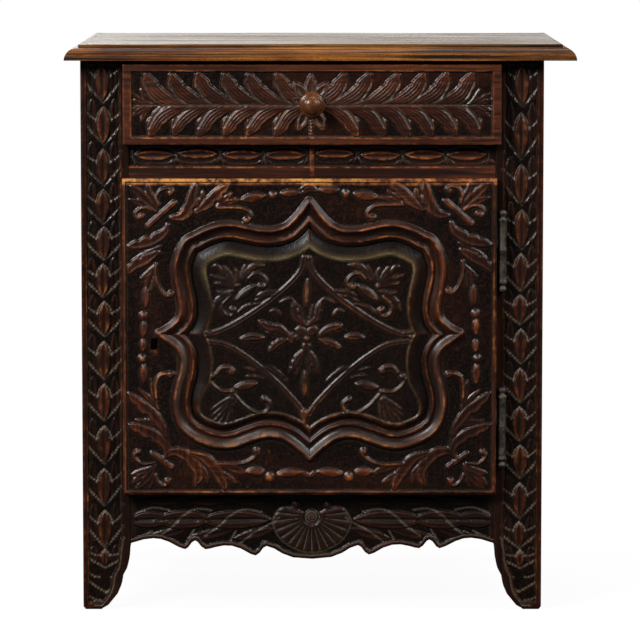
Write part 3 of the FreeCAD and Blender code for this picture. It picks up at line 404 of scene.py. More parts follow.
def span(tree, source, low, high, to_low=0.0, to_high=1.0):
    """The source's range low to high carried to another range, and held at its ends."""
    node = tree.nodes.new("ShaderNodeMapRange")
    for name, number in (("From Min", low), ("From Max", high), ("To Min", to_low), ("To Max", to_high)):
        node.inputs[name].default_value = number
    link(tree, source, node, "Value")
    return node.outputs["Result"]


def times(tree, a, b, kind="MULTIPLY"):
    """a times b, or another sum of the two, held between 0 and 1."""
    node = tree.nodes.new("ShaderNodeMath")
    node.operation = kind
    node.use_clamp = True
    for k, value in enumerate((a, b)):
        if isinstance(value, (int, float)):
            node.inputs[k].default_value = value
        else:
            link(tree, value, node, k)
    return node.outputs[0]


def blended(tree, share, a, b):
    """Colour a at share 0 and b at share 1."""
    node = tree.nodes.new("ShaderNodeMix")
    node.data_type = "RGBA"
    for name, value in (("A", a), ("B", b)):
        socket = [s for s in node.inputs if s.name == name and s.type == "RGBA"][0]
        if isinstance(value, tuple):
            socket.default_value = (*value, 1)
        else:
            tree.links.new(value, socket)
    link(tree, share, node, "Factor")
    return [s for s in node.outputs if s.type == "RGBA"][0]


def rgb(red, green, blue):
    """A colour of the photograph's kind, 0 to 255, as the light it stands for."""
    parts = np.array([red, green, blue]) / 255
    return tuple(float(v) for v in np.where(parts <= 0.04045, parts / 12.92, ((parts + 0.055) / 1.055) ** 2.4))


def darker(colour, share):
    """The colour with that share of its light."""
    return tuple(share * v for v in colour)


def bumped(tree, shader, height, strength, distance):
    """A bump that high, in metres, from a height of 0 to 1."""
    relief = tree.nodes.new("ShaderNodeBump")
    relief.inputs["Strength"].default_value = strength
    relief.inputs["Distance"].default_value = distance
    link(tree, height, relief, "Height")
    link(tree, relief.outputs["Normal"], shader, "Normal")


def parts_of(tree, vector):
    """The X, Y and Z of a vector."""
    node = tree.nodes.new("ShaderNodeSeparateXYZ")
    link(tree, vector, node, "Vector")
    return node.outputs


ground_tone = rgb(12, 8, 7)
speck_tone = rgb(58, 40, 30)
reddened_tone = rgb(134, 58, 26)
worn_tone = rgb(200, 120, 58)
dusty_tone = rgb(122, 108, 90)
# The pale tone of the door's top edge: worn wood plus a painted highlight of the light on its top
worn_and_highlit_tone = rgb(204, 146, 70)
deep_brown = rgb(20, 9, 6)


def oak(name, grain, dark, mid, light, gloss=0.31, bump=0.32, sheen=0.33, pores=0.7, streak=200.0, long=6.0,
        moved=0.0, spread=(0.34, 0.66), faded=None, carved=False, worn=worn_tone, dusty=dusty_tone,
        ground=ground_tone):
    """Waxed oak: long fibres and pores along the grain, slow patches across the board, and a wax bump.

    A faded top adds a bleached and polished upper face. A carved face adds what its marks tell: a dark ground,
    with painted shade in the creases, orange wear on what stands proud and grey dust in the grooves, both with some
    painted highlight, and a pale tone where the wear mark passes 0.84, which only the door's top edge reaches: worn
    wood plus a painted highlight.
    """
    material, tree, shader, place = shade(name)
    fibres = cloud(tree, stretched(tree, place, grain, streak, long, moved), 1.0, 5.0, 0.62, 0.5)
    fine = cloud(tree, stretched(tree, place, grain, streak * 4.2, 26.0), 1.0, 2.0)
    patches = cloud(tree, stretched(tree, place, grain, 16.0, 5.0, moved), 1.0, 3.0)
    grit = cloud(tree, place, 560.0, 3.0, 0.7)
    colour = blended(tree, span(tree, fibres, *spread), dark, mid)
    patch = times(tree, span(tree, patches, 0.40, 0.66), span(tree, fibres, 0.42, 0.7))
    colour = blended(tree, patch, colour, light)
    flecks = span(tree, fine, 0.60, 0.72, 0.0, pores)
    colour = blended(tree, flecks, colour, darker(dark, 0.35))
    colour = blended(tree, span(tree, grit, 0.36, 0.52, 0.6, 0.0), colour, darker(dark, 0.3))
    height = times(tree, fibres, times(tree, flecks, -0.5), "ADD")
    rough = span(tree, patches, 0.3, 0.7, gloss - 0.05, gloss + 0.08)
    if faded:
        top = (CASE_TOP + BOARD) / 1000
        upward = span(tree, parts_of(tree, place)["Z"], top - 0.0023, top - 0.001)
        bleached = blended(tree, span(tree, fibres, 0.42, 0.6), darker(faded, 0.42), faded)
        colour = blended(tree, upward, colour, bleached)
        polish = times(tree, span(tree, fibres, 0.42, 0.58, 0.5, 0.1), upward)
        rough = times(tree, times(tree, rough, times(tree, 1.0, upward, "SUBTRACT")), polish, "ADD")
    if carved:
        marks = tree.nodes.new("ShaderNodeAttribute")
        marks.attribute_name = "carving"
        rubbed, dusted_and_highlit, raised = parts_of(tree, marks.outputs["Vector"])
        low = blended(tree, span(tree, patches, 0.48, 0.7, 0.0, 0.7), ground, darker(mid, 0.45))
        low = blended(tree, span(tree, grit, 0.55, 0.68, 0.0, 0.7), low, speck_tone)
        colour = blended(tree, span(tree, raised, 0.05, 0.85), low, colour)
        rough = times(tree, span(tree, raised, 0.0, 0.7, 0.20, gloss + 0.04),
                      span(tree, patches, 0.3, 0.7, 0.0, 0.08), "ADD")
        grainy = cloud(tree, place, 430.0, 2.0, 0.5)
        height = times(tree, height, times(tree, grainy, span(tree, raised, 0.0, 0.5, 0.7, 0.35)), "ADD")
        scuff = cloud(tree, place, 70.0, 4.0, 0.65)
        # Wear tones: rubbed wood, plus the painted highlights that the wear mark carries
        wear = times(tree, rubbed, span(tree, scuff, 0.40, 0.72, 0.1, 0.9))
        colour = blended(tree, wear, colour, blended(tree, span(tree, wear, 0.05, 0.35), reddened_tone, worn))
        # Dust tones: settled dust, plus the painted highlights that the dust mark carries
        settled_and_highlit = times(tree, dusted_and_highlit, span(tree, cloud(tree, place, 240.0, 3.0, 0.7), 0.36, 0.6, 0.45, 1.0))
        colour = blended(tree, settled_and_highlit, colour, dusty)
        rough = times(tree, rough, times(tree, settled_and_highlit, 0.45), "ADD")
        # Where the wear mark passes 0.84, on the door's top edge only: worn wood plus a painted highlight
        worn_and_highlit_share = times(tree, span(tree, rubbed, 0.84, 1.0, 0.0, 0.85), span(tree, scuff, 0.36, 0.56))
        colour = blended(tree, worn_and_highlit_share, colour, worn_and_highlit_tone)
    link(tree, colour, shader, "Base Color")
    link(tree, rough, shader, "Roughness")
    shader.inputs["Specular IOR Level"].default_value = sheen
    bumped(tree, shader, height, bump, 0.0008)
    return material


def iron(name, dark, pale, gloss=0.5):
    """Old browned iron: rust and dust in patches, with a fine pitted bump."""
    material, tree, shader, place = shade(name)
    patches = cloud(tree, place, 90.0, 5.0, 0.65)
    pits = cloud(tree, place, 900.0, 3.0, 0.6)
    colour = blended(tree, span(tree, patches, 0.42, 0.62), dark, pale)
    colour = blended(tree, span(tree, pits, 0.55, 0.68, 0.0, 0.6), colour, rgb(28, 22, 18))
    link(tree, colour, shader, "Base Color")
    link(tree, span(tree, patches, 0.3, 0.7, gloss - 0.1, gloss + 0.15), shader, "Roughness")
    shader.inputs["Metallic"].default_value = 0.2
    bumped(tree, shader, pits, 0.3, 0.0004)
    return material


door_browns = deep_brown, rgb(60, 27, 14), rgb(116, 57, 25)
side_browns = rgb(26, 14, 9), rgb(48, 25, 14), rgb(68, 38, 20)
inner_browns = rgb(78, 54, 32), rgb(112, 82, 50), rgb(132, 100, 64)
back_browns = rgb(56, 40, 27), rgb(88, 66, 44), rgb(108, 84, 58)

top_finish = oak("top_oak", "x", rgb(8, 4, 2), rgb(94, 49, 14), rgb(190, 120, 44), gloss=0.36, bump=0.2, sheen=0.2,
                 pores=0.95, spread=(0.42, 0.56), faded=rgb(112, 88, 58), long=2.5)
post_finish = oak("post_oak", "z", deep_brown, rgb(38, 16, 9), rgb(76, 34, 15), sheen=0.24, carved=True,
                  ground=rgb(9, 6, 5))
rail_finish = oak("rail_oak", "x", deep_brown, rgb(62, 27, 14), rgb(112, 52, 23), carved=True)
apron_finish = oak("apron_oak", "x", rgb(18, 10, 7), rgb(30, 16, 11), rgb(46, 24, 15), sheen=0.24, carved=True,
                   worn=rgb(84, 50, 30), ground=rgb(6, 5, 4))
drawer_finish = oak("drawer_oak", "x", rgb(34, 15, 9), rgb(70, 31, 15), rgb(122, 62, 26), carved=True)
stile_finish = oak("stile_oak", "z", *door_browns, carved=True)
door_rail_finish = oak("door_rail_oak", "x", *door_browns, carved=True)
# The panel's pale dust colour also paints the light on the top of its bevel
panel_finish = oak("panel_oak", "z", rgb(20, 11, 8), rgb(33, 18, 12), rgb(48, 26, 16), carved=True,
                   worn=rgb(156, 96, 52), dusty=rgb(132, 116, 76))
side_finish = oak("side_oak", "y", *side_browns)
side_upright_finish = oak("side_upright_oak", "z", *side_browns)
inner_finish = oak("inner_oak", "y", *inner_browns, gloss=0.62, bump=0.2)
inner_across_finish = oak("inner_across_oak", "x", *inner_browns, gloss=0.62, bump=0.2)
back_finish = oak("back_oak", "z", *back_browns, gloss=0.72, bump=0.3)
back_left_finish = oak("back_left_oak", "z", rgb(44, 31, 21), rgb(72, 53, 36), rgb(90, 68, 46), gloss=0.72, bump=0.3,
                       moved=7.3)
back_right_finish = oak("back_right_oak", "z", rgb(62, 44, 30), rgb(98, 73, 48), rgb(120, 92, 62), gloss=0.72,
                        bump=0.3, moved=13.9)
back_across_finish = oak("back_across_oak", "x", *back_browns, gloss=0.72, bump=0.3)
knob_finish = oak("knob_wood", "y", rgb(70, 38, 18), rgb(94, 54, 27), rgb(114, 68, 34), gloss=0.22, bump=0.03,
                  pores=0.1, streak=90.0)
peg_finish = oak("peg_oak", "y", rgb(30, 18, 12), rgb(56, 34, 20), rgb(80, 52, 32))
hinge_finish = iron("hinge_iron", rgb(30, 26, 22), rgb(80, 70, 56))
lock_finish = iron("lock_iron", rgb(34, 29, 26), rgb(70, 60, 50))


def pairs(*names):
    """Each name with its left and its right hand."""
    return [f"{name}_{hand}" for name in names for hand in ("left", "right")]


def dress(node, finish, edge):
    """Gives a plain piece its finish and breaks its edges by that many metres."""
    for place in node.material_slots:
        place.material = finish
    weld = node.modifiers.new("weld", "WELD")
    weld.merge_threshold = 0.00002
    eased = node.modifiers.new("eased_edges", "BEVEL")
    eased.width = edge
    eased.segments = 2
    eased.limit_method = "ANGLE"
    eased.angle_limit = math.radians(40)
    eased.loop_slide = False


WOOD_EDGE, IRON_EDGE = 0.0008, 0.0003
plain_pieces = (
    (side_finish, WOOD_EDGE, pairs("side_rail_upper", "side_rail_lower")),
    (side_upright_finish, WOOD_EDGE, pairs("side_panel", "post_rear")),
    (inner_across_finish, WOOD_EDGE, ["floor_board_front", "floor_board_rear", "shelf", "front_rail_top",
                                      "drawer_back"]),
    (inner_finish, WOOD_EDGE, pairs("floor_bearer", "shelf_cleat", "drawer_runner", "drawer_guide", "drawer_kicker",
                                    "drawer_side") + ["drawer_bottom"]),
    (back_across_finish, WOOD_EDGE, ["back_rail_top", "back_rail_middle", "back_rail_bottom"]),
    (back_finish, WOOD_EDGE, ["back_board_middle"]),
    (back_left_finish, WOOD_EDGE, ["back_board_left"]),
    (back_right_finish, WOOD_EDGE, ["back_board_right"]),
    (lock_finish, IRON_EDGE, ["lock_case", "lock_bolt", "hinge_upper_pin", "hinge_lower_pin"]),
)
for finish, edge, names in plain_pieces:
    for name in names:
        dress(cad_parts[name], finish, edge)


# The top: three planks with a thumb moulding along the front and both ends

def top_planks():
    """Height over (x, y): a quarter ellipse of the distance to the nearest moulded edge, then a step up to the flat."""
    left, right = -OUTER - 23.5, OUTER + 49.3
    near, far = FRONT - 30, FRONT + CASE_DEPTH + 14
    nosing, step_at, gap = 21, 21.2, 0.25
    edge = np.array([0, 0.12, 0.45, 1, 1.8, 2.8, 4, 5.5, 7.4, 9.6, 12, 14.6, 17.4, 20.2, 20.9, 21, 21.35, 22, 24, 27])
    seam = np.array([0, 0.35, 1.0, 2.2, 4])
    x = np.concatenate([left + edge, np.linspace(left + 32, right - 32, 190), (right - edge)[::-1]])
    splits = (near, near + 176, near + 344, far)
    for step, name in enumerate(("front", "middle", "rear")):
        low, high = splits[step:step + 2]
        start = low + edge if step == 0 else low + gap + seam
        end = high - (gap if step < 2 else 0) - seam[::-1]
        y = np.concatenate([start, np.linspace(start[-1] + 4, end[0] - 4, 36), end])
        gx, gy = np.meshgrid(x, y)
        inward = np.minimum(np.minimum(gx - left, right - gx), gy - near)
        rounded = 20 * np.sqrt(np.maximum(1 - ((nosing - np.minimum(inward, nosing)) / nosing) ** 2, 0))
        rounded = rounded + 0.12 * noise(gx, gy, 30, 3) * ease(inward, 1, 8)
        wave = 0.35 * noise(gx, gy, 190, 5 + step) + 0.22 * noise(gx, gy * 4, 60, 8 + step) - 0.3
        flat = BOARD - 0.5 * (1 - ease(inward, 21.3, 23)) + wave * ease(inward, 22, 40)
        z = np.where(inward > step_at, flat, rounded)
        beside_seam = (step > 0) & (gy - low < 3) | (step < 2) & (high - gy < 3)
        rim = np.minimum(gy - low, high - gy)
        z = np.clip(z - np.where(beside_seam, 0.4 * (1 - ease(rim, 0.1, 1.4)), 0), 0.15, BOARD)
        points, faces, _ = closed_sheet(np.stack([gx, gy, CASE_TOP + z], axis=-1), 2, CASE_TOP)
        made("plank_" + name, points, faces, "root", top_finish, ["top_plank_" + name], smooth=35)


top_planks()


# Posts: a garland of overlapping leaves in a sunk band, over a shaped foot

foot_edge = ((0, 331), (1.7, 330), (6.7, 321), (14, 315), (25, 306), (38, 300.5), (53, 298), (66, 291), (79, 288.5),
             (93, 287.5), (105, 285), (120, 285))
foot_depth = ((0, 30), (20, 34.5), (40, 39.5), (65, 43), (105, 45), (120, 45))

# Heights of the groove under each central leaf, and of the next leaf's tip
garlands = {
    "left": [-5, 27.5, 67, 99, 166, 232, 300, 366, 433, 495, 553, 611, 670, 734, 800, 870],
    "right": [-6, 28, 66, 98, 145, 209, 268, 329, 390, 452, 504, 571, 640, 711, 793, 870],
}


def garland(relief, hand, side):
    """Leaves of one pitch each: a central lens, and beaded grooves that rise from its foot to the band's edges."""
    middle = side * 325.7
    chance = np.random.default_rng(11 + side)
    nodes = garlands[hand]
    for foot, tip in zip(nodes[:-1], nodes[1:]):
        pitch = tip - foot
        sway = chance.uniform(-1.2, 1.2)
        c = middle + sway
        half = min(11.5, pitch * 0.2) * chance.uniform(0.92, 1.08)
        top = foot + 0.84 * pitch
        dusty, beads = (0.8, 5.4) if foot < 560 else (0.22, 0)
        low = tip < 68
        for way in (-1, 1):
            lean = chance.uniform(-1.5, 1.5)
            if not low:
                relief.raised([(c + way * 17, foot + 0.1 * pitch), (c + way * 18, foot + 0.5 * pitch),
                               (c + way * 17, foot + 1.05 * pitch)], 10.5, -1.7, -4.2, leaf_section, LENS, ribs=3)
            relief.cut([(c, foot), (c + way * 9, foot + 0.13 * pitch), (c + way * 27, foot + 0.45 * pitch + lean)],
                       2.4, 2.2, dusty, beads)
            relief.cut([(c + way * 8.5, foot + 0.60 * pitch), (c + way * 16, foot + 0.62 * pitch),
                        (c + way * 27, foot + 0.76 * pitch + lean)], 2.0, 1.8, dusty * 0.9, beads)
            relief.cut([(c + way * (17 + sway), foot + 0.3 * pitch), (c + way * 17.5, foot + 0.58 * pitch)], 0.8, -0.8)
        if low:
            continue
        relief.raised([(c, foot + 1), (c, foot + 0.4 * pitch), (c, top)], half * 1.1, 0.0, -4.4, leaf_section, LENS)
        for way in (-1, 1):
            relief.cut([(c + way * half * 1.02, foot + 0.55 * pitch), (c + way * half * 0.72, foot + 0.72 * pitch),
                        (c, top + 1.5)], 1.9, 2.0, dusty, beads)
        relief.cut([(c, foot + 0.2 * pitch), (c, foot + 0.72 * pitch)], 1.2, -1.3)


def front_post(hand, side):
    """Rings up the post: the carved face over shares of the width, the outer side, the back and the inner side."""
    z = np.concatenate([[0, 0.6], np.arange(1.8, 863.4, 1.25), [CASE_TOP - 0.5, CASE_TOP]])
    share = np.concatenate([[0, 0.012, 0.03], np.linspace(0.045, 0.955, 68), [0.972, 0.99, 1]])
    inner = np.interp(z, *np.array(foot_edge).T)
    outer = OUTER - 3.5 * (1 - ease(z, 0, 7)) ** 2
    back = FRONT + np.interp(z, *np.array(foot_depth).T)
    gz, gs = np.meshgrid(z, share, indexing="ij")
    gx = inner[:, None] + gs * (outer - inner)[:, None]
    relief = Relief(side * gx, gz, -3.4 + 0.35 * noise(gx, gz, 4.5, 21))
    garland(relief, hand, side)
    carved = softened(np.minimum(relief.grid(), 0), 1)
    foot_top, band_outer, band_top = 112, 353, 856
    along = gx - inner[:, None]
    inside = along - np.where(gz < foot_top, 13 + 3 * ease(gz, 10, 50), 14)
    outside = band_outer - 2 * ease(gz, 0, 60) - gx
    band = np.minimum(inside, outside)
    band = np.minimum(np.minimum(band, gz - 10 - 22 * ease(gx, 330, 300)), band_top - gz)
    blend = ease(band, -0.2, 1.1)
    face = carved * blend + 0.1 * noise(gx * 2, gz, 28, 31) * (1 - blend)
    lip = np.exp(-((band + 3.2) / 1.1) ** 2) * (gz < 116) * (along > 3) * (inside < outside)
    face = np.minimum(face - 1.2 * lip, 0) - (1 - ease(np.minimum(along, outer[:, None] - gx), 0, 1.6)) ** 2
    face = face - 2.5 * (1 - ease(gz, 0, 5)) ** 2
    relief.settle(face, blend)
    marks = relief.marks(-3.6)
    edge_wear = (1 - ease(abs(band + 1.0), 0, 1.3)) * 0.2 + (1 - ease(OUTER - gx, 1, 7)) * 0.3
    marks[..., WEAR_AND_HIGHLIGHT] *= 0.55
    more(marks, WEAR_AND_HIGHLIGHT, edge_wear * (0.55 + 0.45 * noise(gx, gz, 22, 7)), 0.8)
    handled = (0.17 + 0.14 * noise(gx * 1.7, gz, 14, 35)) * ease(gz, 40, 150)
    more(marks, WEAR_AND_HIGHLIGHT, handled * ease(face, -1.5, -0.2) * blend, 0.8)
    more(marks, DUST_AND_HIGHLIGHT, 0.5 * lip)
    marks[..., LIFT] *= 0.8 - 0.35 * (1 - blend) * (0.7 + 0.3 * noise(gx, gz, 18, 33))
    bolt_mortise = np.where((z > 413.6) & (z < 432.4) & (side < 0), 13.5, 0.0)
    sides = [(outer, np.minimum(FRONT + deep, back - 1)) for deep in (1.2, 12, 30)]
    sides += [(outer, back), (inner, back)]
    sides += [(inner + sunk * bolt_mortise, np.minimum(FRONT + deep, back - 0.5))
              for sunk, deep in ((0, 30), (0, 10.62), (1, 10.6), (1, 3.1), (0, 3.08), (0, 2.0))]
    rings = with_sides(np.stack([side * gx, FRONT - face, gz], axis=-1), [(side * x, y, z) for x, y in sides])
    sleeve("post_" + hand, rings, "root", post_finish, ["post_front_" + hand],
           with_plain(marks, len(sides), 0.12))


front_post("left", -1)
front_post("right", 1)


# The drawer front: two rows of leaves along a middle line, and a palmette behind the knob

# Where the leaves' tips lie along the drawer, each side of the knob, above and below the middle line
leaf_tips = {(1, 1): (49, 88, 132, 172, 208, 248), (1, -1): (68, 110, 149, 184, 221, 257),
             (-1, 1): (53, 97, 135, 176, 217, 257), (-1, -1): (55, 98, 134, 174, 213, 250)}


def leaf_rows(relief):
    """Broad leaves: each springs from the middle line, sweeps outward and ends near the border, beside a gouge."""
    chance = np.random.default_rng(3)
    axis = 794.5
    for (side, up), tips in leaf_tips.items():
        reach = 46 if up > 0 else 44
        for tip in tips:
            a, b, c = chance.uniform(-1.5, 1.5, 3)
            line = [(tip - 66, 1), (tip - 42 + a, 4), (tip - 21 + b, 14), (tip - 8 + c, 28), (tip, reach + b)]
            path = [(side * x, axis + up * z) for x, z in line]
            relief.raised(path, 14.5, chance.uniform(-0.6, 0.1), -4.6, broad_section, LEAFY, 3, 0.34)
            gouge = [(side * (x + 3), axis + up * (z - 10)) for x, z in line[1:]]
            gouge[0] = (gouge[0][0] + side * 10, axis + up * 1.5)
            relief.cut(gouge, 3.2, 2.6, 0.2, widths=((0, 0.3, 0.8, 1), (0.2, 0.8, 1, 0.5)))
        for long, high, half in ((34, 19, 4.5), (38, 9, 4.0), (20, 26, 3.6)):
            root = 241 if side > 0 else 246
            relief.raised([(side * root, axis), (side * (root + 0.55 * long), axis + up * 0.35 * high),
                           (side * (root + long), axis + up * high)], half, -1.4, -4.6, dished_section)
    relief.cut([(-284, axis), (-120, axis + 0.4), (-22, axis)], 1.8, 2.2, 0.3)
    relief.cut([(22, axis), (120, axis + 0.6), (284, axis)], 1.8, 2.2, 0.3)


def palmette(relief):
    """Pointed petals round the knob, each a hollow with an outline: five up and out, two down beside a beaded drop."""
    centre = np.array([-1.7, 794.0])
    for turn, long, half in ((36, 44, 10), (-36, 44, 10), (0, 48, 9.5), (70, 33, 7.5), (-70, 33, 7.5),
                             (152, 44, 10), (-152, 44, 10)):
        a = math.radians(turn)
        way = np.array([math.sin(a), math.cos(a)])
        over = np.array([way[1], -way[0]])
        relief.raised([centre + way * 10, centre + way * long * 0.6, centre + way * long], half, -1.2, -3.8,
                      flat_section, ((0, 0.35, 0.62, 0.8, 0.9, 1), (0.7, 1, 0.95, 0.6, 0.5, 0.1)))
        relief.cut([centre + way * 14, centre + way * (long * 0.62), centre + way * (long - 8)], half * 0.55, 2.0, 0.1,
                   widths=LENS)
        for side in (-1, 1):
            relief.cut([centre + way * 12 + over * side * half * 0.7,
                        centre + way * long * 0.6 + over * side * half * 0.8,
                        centre + way * (long - 2) + over * side], 0.9, 0.8, 0.45)
    for step in range(5):
        bead, line = (centre[1] - drop - 5.2 * step for drop in (24, 26.6))
        relief.dot(centre[0], bead, 3.2 - 0.25 * step, -0.4, -3.4)
        relief.cut([(centre[0] - 3, line), (centre[0] + 3, line)], 1.0, 0.8, 0.6)


def with_edges(low, high, count):
    """Even steps from low to high, with finer ones at both ends."""
    return np.concatenate([[low, low + 0.25, low + 0.8], np.linspace(low + 1.8, high - 1.8, count),
                           [high - 0.8, high - 0.25, high]])


def drawer_front():
    """The face over (x, z), sunk inside a plain border, with the leaves raised from the sunk ground."""
    half, low, high = 293.5, 733.5, 858.0
    gz, gx = np.meshgrid(with_edges(low, high, 128), with_edges(-half, half, 560), indexing="ij")
    relief = Relief(gx, gz, -4.6 + 0.4 * noise(gx, gz, 5, 41))
    leaf_rows(relief)
    palmette(relief)
    carved = softened(np.minimum(relief.grid(), 0.3), 1)
    band = np.minimum(np.minimum(gx + half - 13.5, half - 13.5 - gx), np.minimum(gz - low - 11, high - 11 - gz))
    band = band + 0.35 * noise(gx, gz, 30, 44)
    blend = ease(band, -0.4, 1.6)
    face = carved * blend + 0.12 * noise(gx, gz, 40, 42) * (1 - blend)
    edge = np.minimum(np.minimum(gx + half, half - gx), np.minimum(gz - low, high - gz))
    face = np.minimum(face, 0.3) - 1.2 * (1 - ease(edge, 0, 1.9)) ** 2
    relief.settle(face, blend)
    marks = relief.marks(-4.8)
    # Pale marks along the rounded edge and the band's edge: wear plus a painted highlight
    lit = (1 - ease(edge, 0.6, 2.6)) * 0.8 + (1 - ease(abs(band), 0, 1.4)) * 0.5
    more(marks, WEAR_AND_HIGHLIGHT, 0.7 * lit * (0.5 + 0.5 * noise(gx, gz, 30, 9)), 0.8)
    marks[..., LIFT] *= 1 - blend * (0.42 - 0.3 * ease(noise(gx, gz, 32, 10), 0.0, 0.7))
    sheet = np.stack([gx, DRAWER_FACE - face, gz], axis=-1)
    board("drawer_face", sheet, DRAWER_FACE + DRAWER_THICK, "drawer", drawer_finish, ["drawer_front"],
          marks)


drawer_front()


def knob():
    """A turned knob: collar, neck and dome as radius over distance from the drawer's face."""
    angle = np.linspace(0, math.pi / 2, 12)
    dome = np.stack([15.2 * np.cos(angle) ** 0.9, 22.5 + 11.4 * np.sin(angle)], axis=-1)
    dome[-1, 0] = 0.15
    profile = np.concatenate([
        [(6.9, -19.5), (6.9, -0.5), (19.2, -0.5), (20.0, 0.2), (20.2, 1.6), (19.9, 3.0), (18.6, 4.4), (17.2, 5.0),
         (16.6, 5.2), (16.2, 5.9), (15.0, 6.6), (13.2, 7.4), (11.2, 9.0), (10.1, 11.0), (9.9, 13.0), (10.6, 15.2),
         (12.4, 17.4), (14.2, 19.0), (15.3, 20.8)], dome])
    profile[:, 1] = np.minimum(profile[:, 1], 34.0)
    rings = lathe_points(profile, 64, (0.0, DRAWER_FACE, DRAWER_Z), False)
    sleeve("turned_knob", rings, "drawer", knob_finish, ["drawer_knob"], smooth=40)


knob()


# The rail between drawer and door: four leaves lying each side of a small fillet

def middle_rail():
    """The face over (x, z): a sunk band of lens leaves and crossing lines above a plain strip."""
    low, high, band_low, band_high = 672.0, 742.0, 698, 734
    x = np.linspace(-INNER, INNER, 540)
    z = np.concatenate([np.linspace(low, 680, 5), np.linspace(681, 731, 52), np.linspace(732, high, 5)])
    gz, gx = np.meshgrid(z, x, indexing="ij")
    relief = Relief(gx, gz, -3.3 + 0.3 * noise(gx, gz, 4, 51))
    chance = np.random.default_rng(6)
    for side, first in ((-1, -246.0), (1, 37.0)):
        for step in range(4):
            c = first + 68.5 * step + chance.uniform(-2.5, 2.5)
            level = 716.5 + chance.uniform(-1.5, 1.5)
            relief.raised([(c - 28, level), (c, level + chance.uniform(-1.5, 1.5)), (c + 28, level)], 10.4, 0, -3.6,
                          leaf_section, FULL, ribs=2)
            for way in (-1, 1):
                relief.raised([(c - 36, level + way * 3), (c - 20, level + way * 13.5), (c + 20, level + way * 13.5),
                               (c + 36, level + way * 3)], 2.2, -2.2, -3.6)
                relief.raised([(c + 20, level + way * 15), (c + 34, level + way * 8), (c + 48, level + way * 15)],
                              2.6, -2.2, -3.6)
                relief.cut([(c + way * 30, level - 12), (c + way * 34.5, level), (c + way * 30, level + 12)],
                           1.2, 1.2, 0.3)
            relief.cut([(c - 22, level), (c + 22, level)], 0.9, 0.8)
    carved = softened(np.minimum(relief.grid(), 0), 1)
    band = np.minimum(np.minimum(gz - band_low, band_high - gz) + 0.3 * noise(gx, gz, 24, 55), abs(gx) - 3.6)
    blend = ease(band, -0.3, 1.0)
    face = np.minimum(carved * blend + 0.1 * noise(gx, gz, 30, 52) * (1 - blend), 0)
    relief.settle(face, blend)
    marks = relief.marks(-3.5)
    marks[..., WEAR_AND_HIGHLIGHT] += 0.3 * ease(face, -1.3, -0.3) * blend
    marks[..., WEAR_AND_HIGHLIGHT] += (1 - ease(abs(band + 0.9), 0, 1.2)) * 0.5
    more(marks, WEAR_AND_HIGHLIGHT, (abs(gx) < 3.4) * 0.5, 0.8)
    sheet = np.stack([gx, FRONT - face, gz], axis=-1)
    board("leafed_rail", sheet, FRONT + BOARD, "root", rail_finish, ["front_rail_middle"], marks)


middle_rail()


# The apron: a scalloped edge, long leaves that overlap, and a shell in the middle

scallop = ((0, 80), (30, 82.5), (47, 89), (60, 97), (72, 101), (77, 98), (83, 90), (89, 86), (97, 88.5), (112, 97),
           (126, 101.5), (139, 102), (152, 99.5), (161, 97), (168, 96), (174, 100), (180, 107.5), (184, 110),
           (189, 107), (195, 99), (200, 96), (210, 99.5), (225, 107.5), (238, 112), (250, 113), (265, 111), (285, 105))


def lower_edge(x):
    """The height of the apron's scalloped edge over x, read between its turning points, with a slight lean."""
    across = abs(x)
    return np.interp(across, *np.array(scallop, float).T) + x * 0.012 * (1 - across / INNER)


def shell(relief, gx, gz):
    """A fan of rays about a curled boss: depth a high power of a cosine of the turn, inside a reach read over it."""
    centre = np.array([-0.7, 147.0])
    away = np.hypot(gx - centre[0], gz - centre[1])
    turn = np.degrees(np.arctan2(gx - centre[0], centre[1] - gz))
    reach = np.interp(abs(turn), (0, 30, 60, 85, 105, 120), (56, 57, 61, 62, 52, 30))
    fan = abs(turn) < 118
    share = ease(reach - away, 0, 3) * fan
    ray = 0.5 + 0.5 * np.cos(np.radians(turn) * 26)
    rays = -0.9 - 1.8 * ray ** 8 * ease(away, 14, 30) * (0.6 + 0.4 * ease(away, 20, 50))
    h = relief.grid()
    h = np.where(share > 0, h * (1 - share) + rays * share, h)
    relief.h = np.where(away < 13.5, -3.2, h).ravel()
    relief.dot(*centre, 12.5, 0, -3.4)
    spiral = np.cos(2 * math.pi * (away / 4.2 - np.radians(turn) / (2 * math.pi)))
    h = relief.grid()
    relief.h = np.where(away < 12, h - 0.9 * (0.5 - 0.5 * spiral) * ease(away, 1, 3), h).ravel()
    for dust in (0.5 * share * ease(ray, 0.93, 0.995) * ease(away, 15, 24),
                 0.3 * (1 - ease(abs(reach - away), 0.6, 2.2)) * fan,
                 0.6 * (away < 12) * ease(-spiral, 0.3, 0.9)):
        relief.dust = np.maximum(relief.dust, dust.ravel())


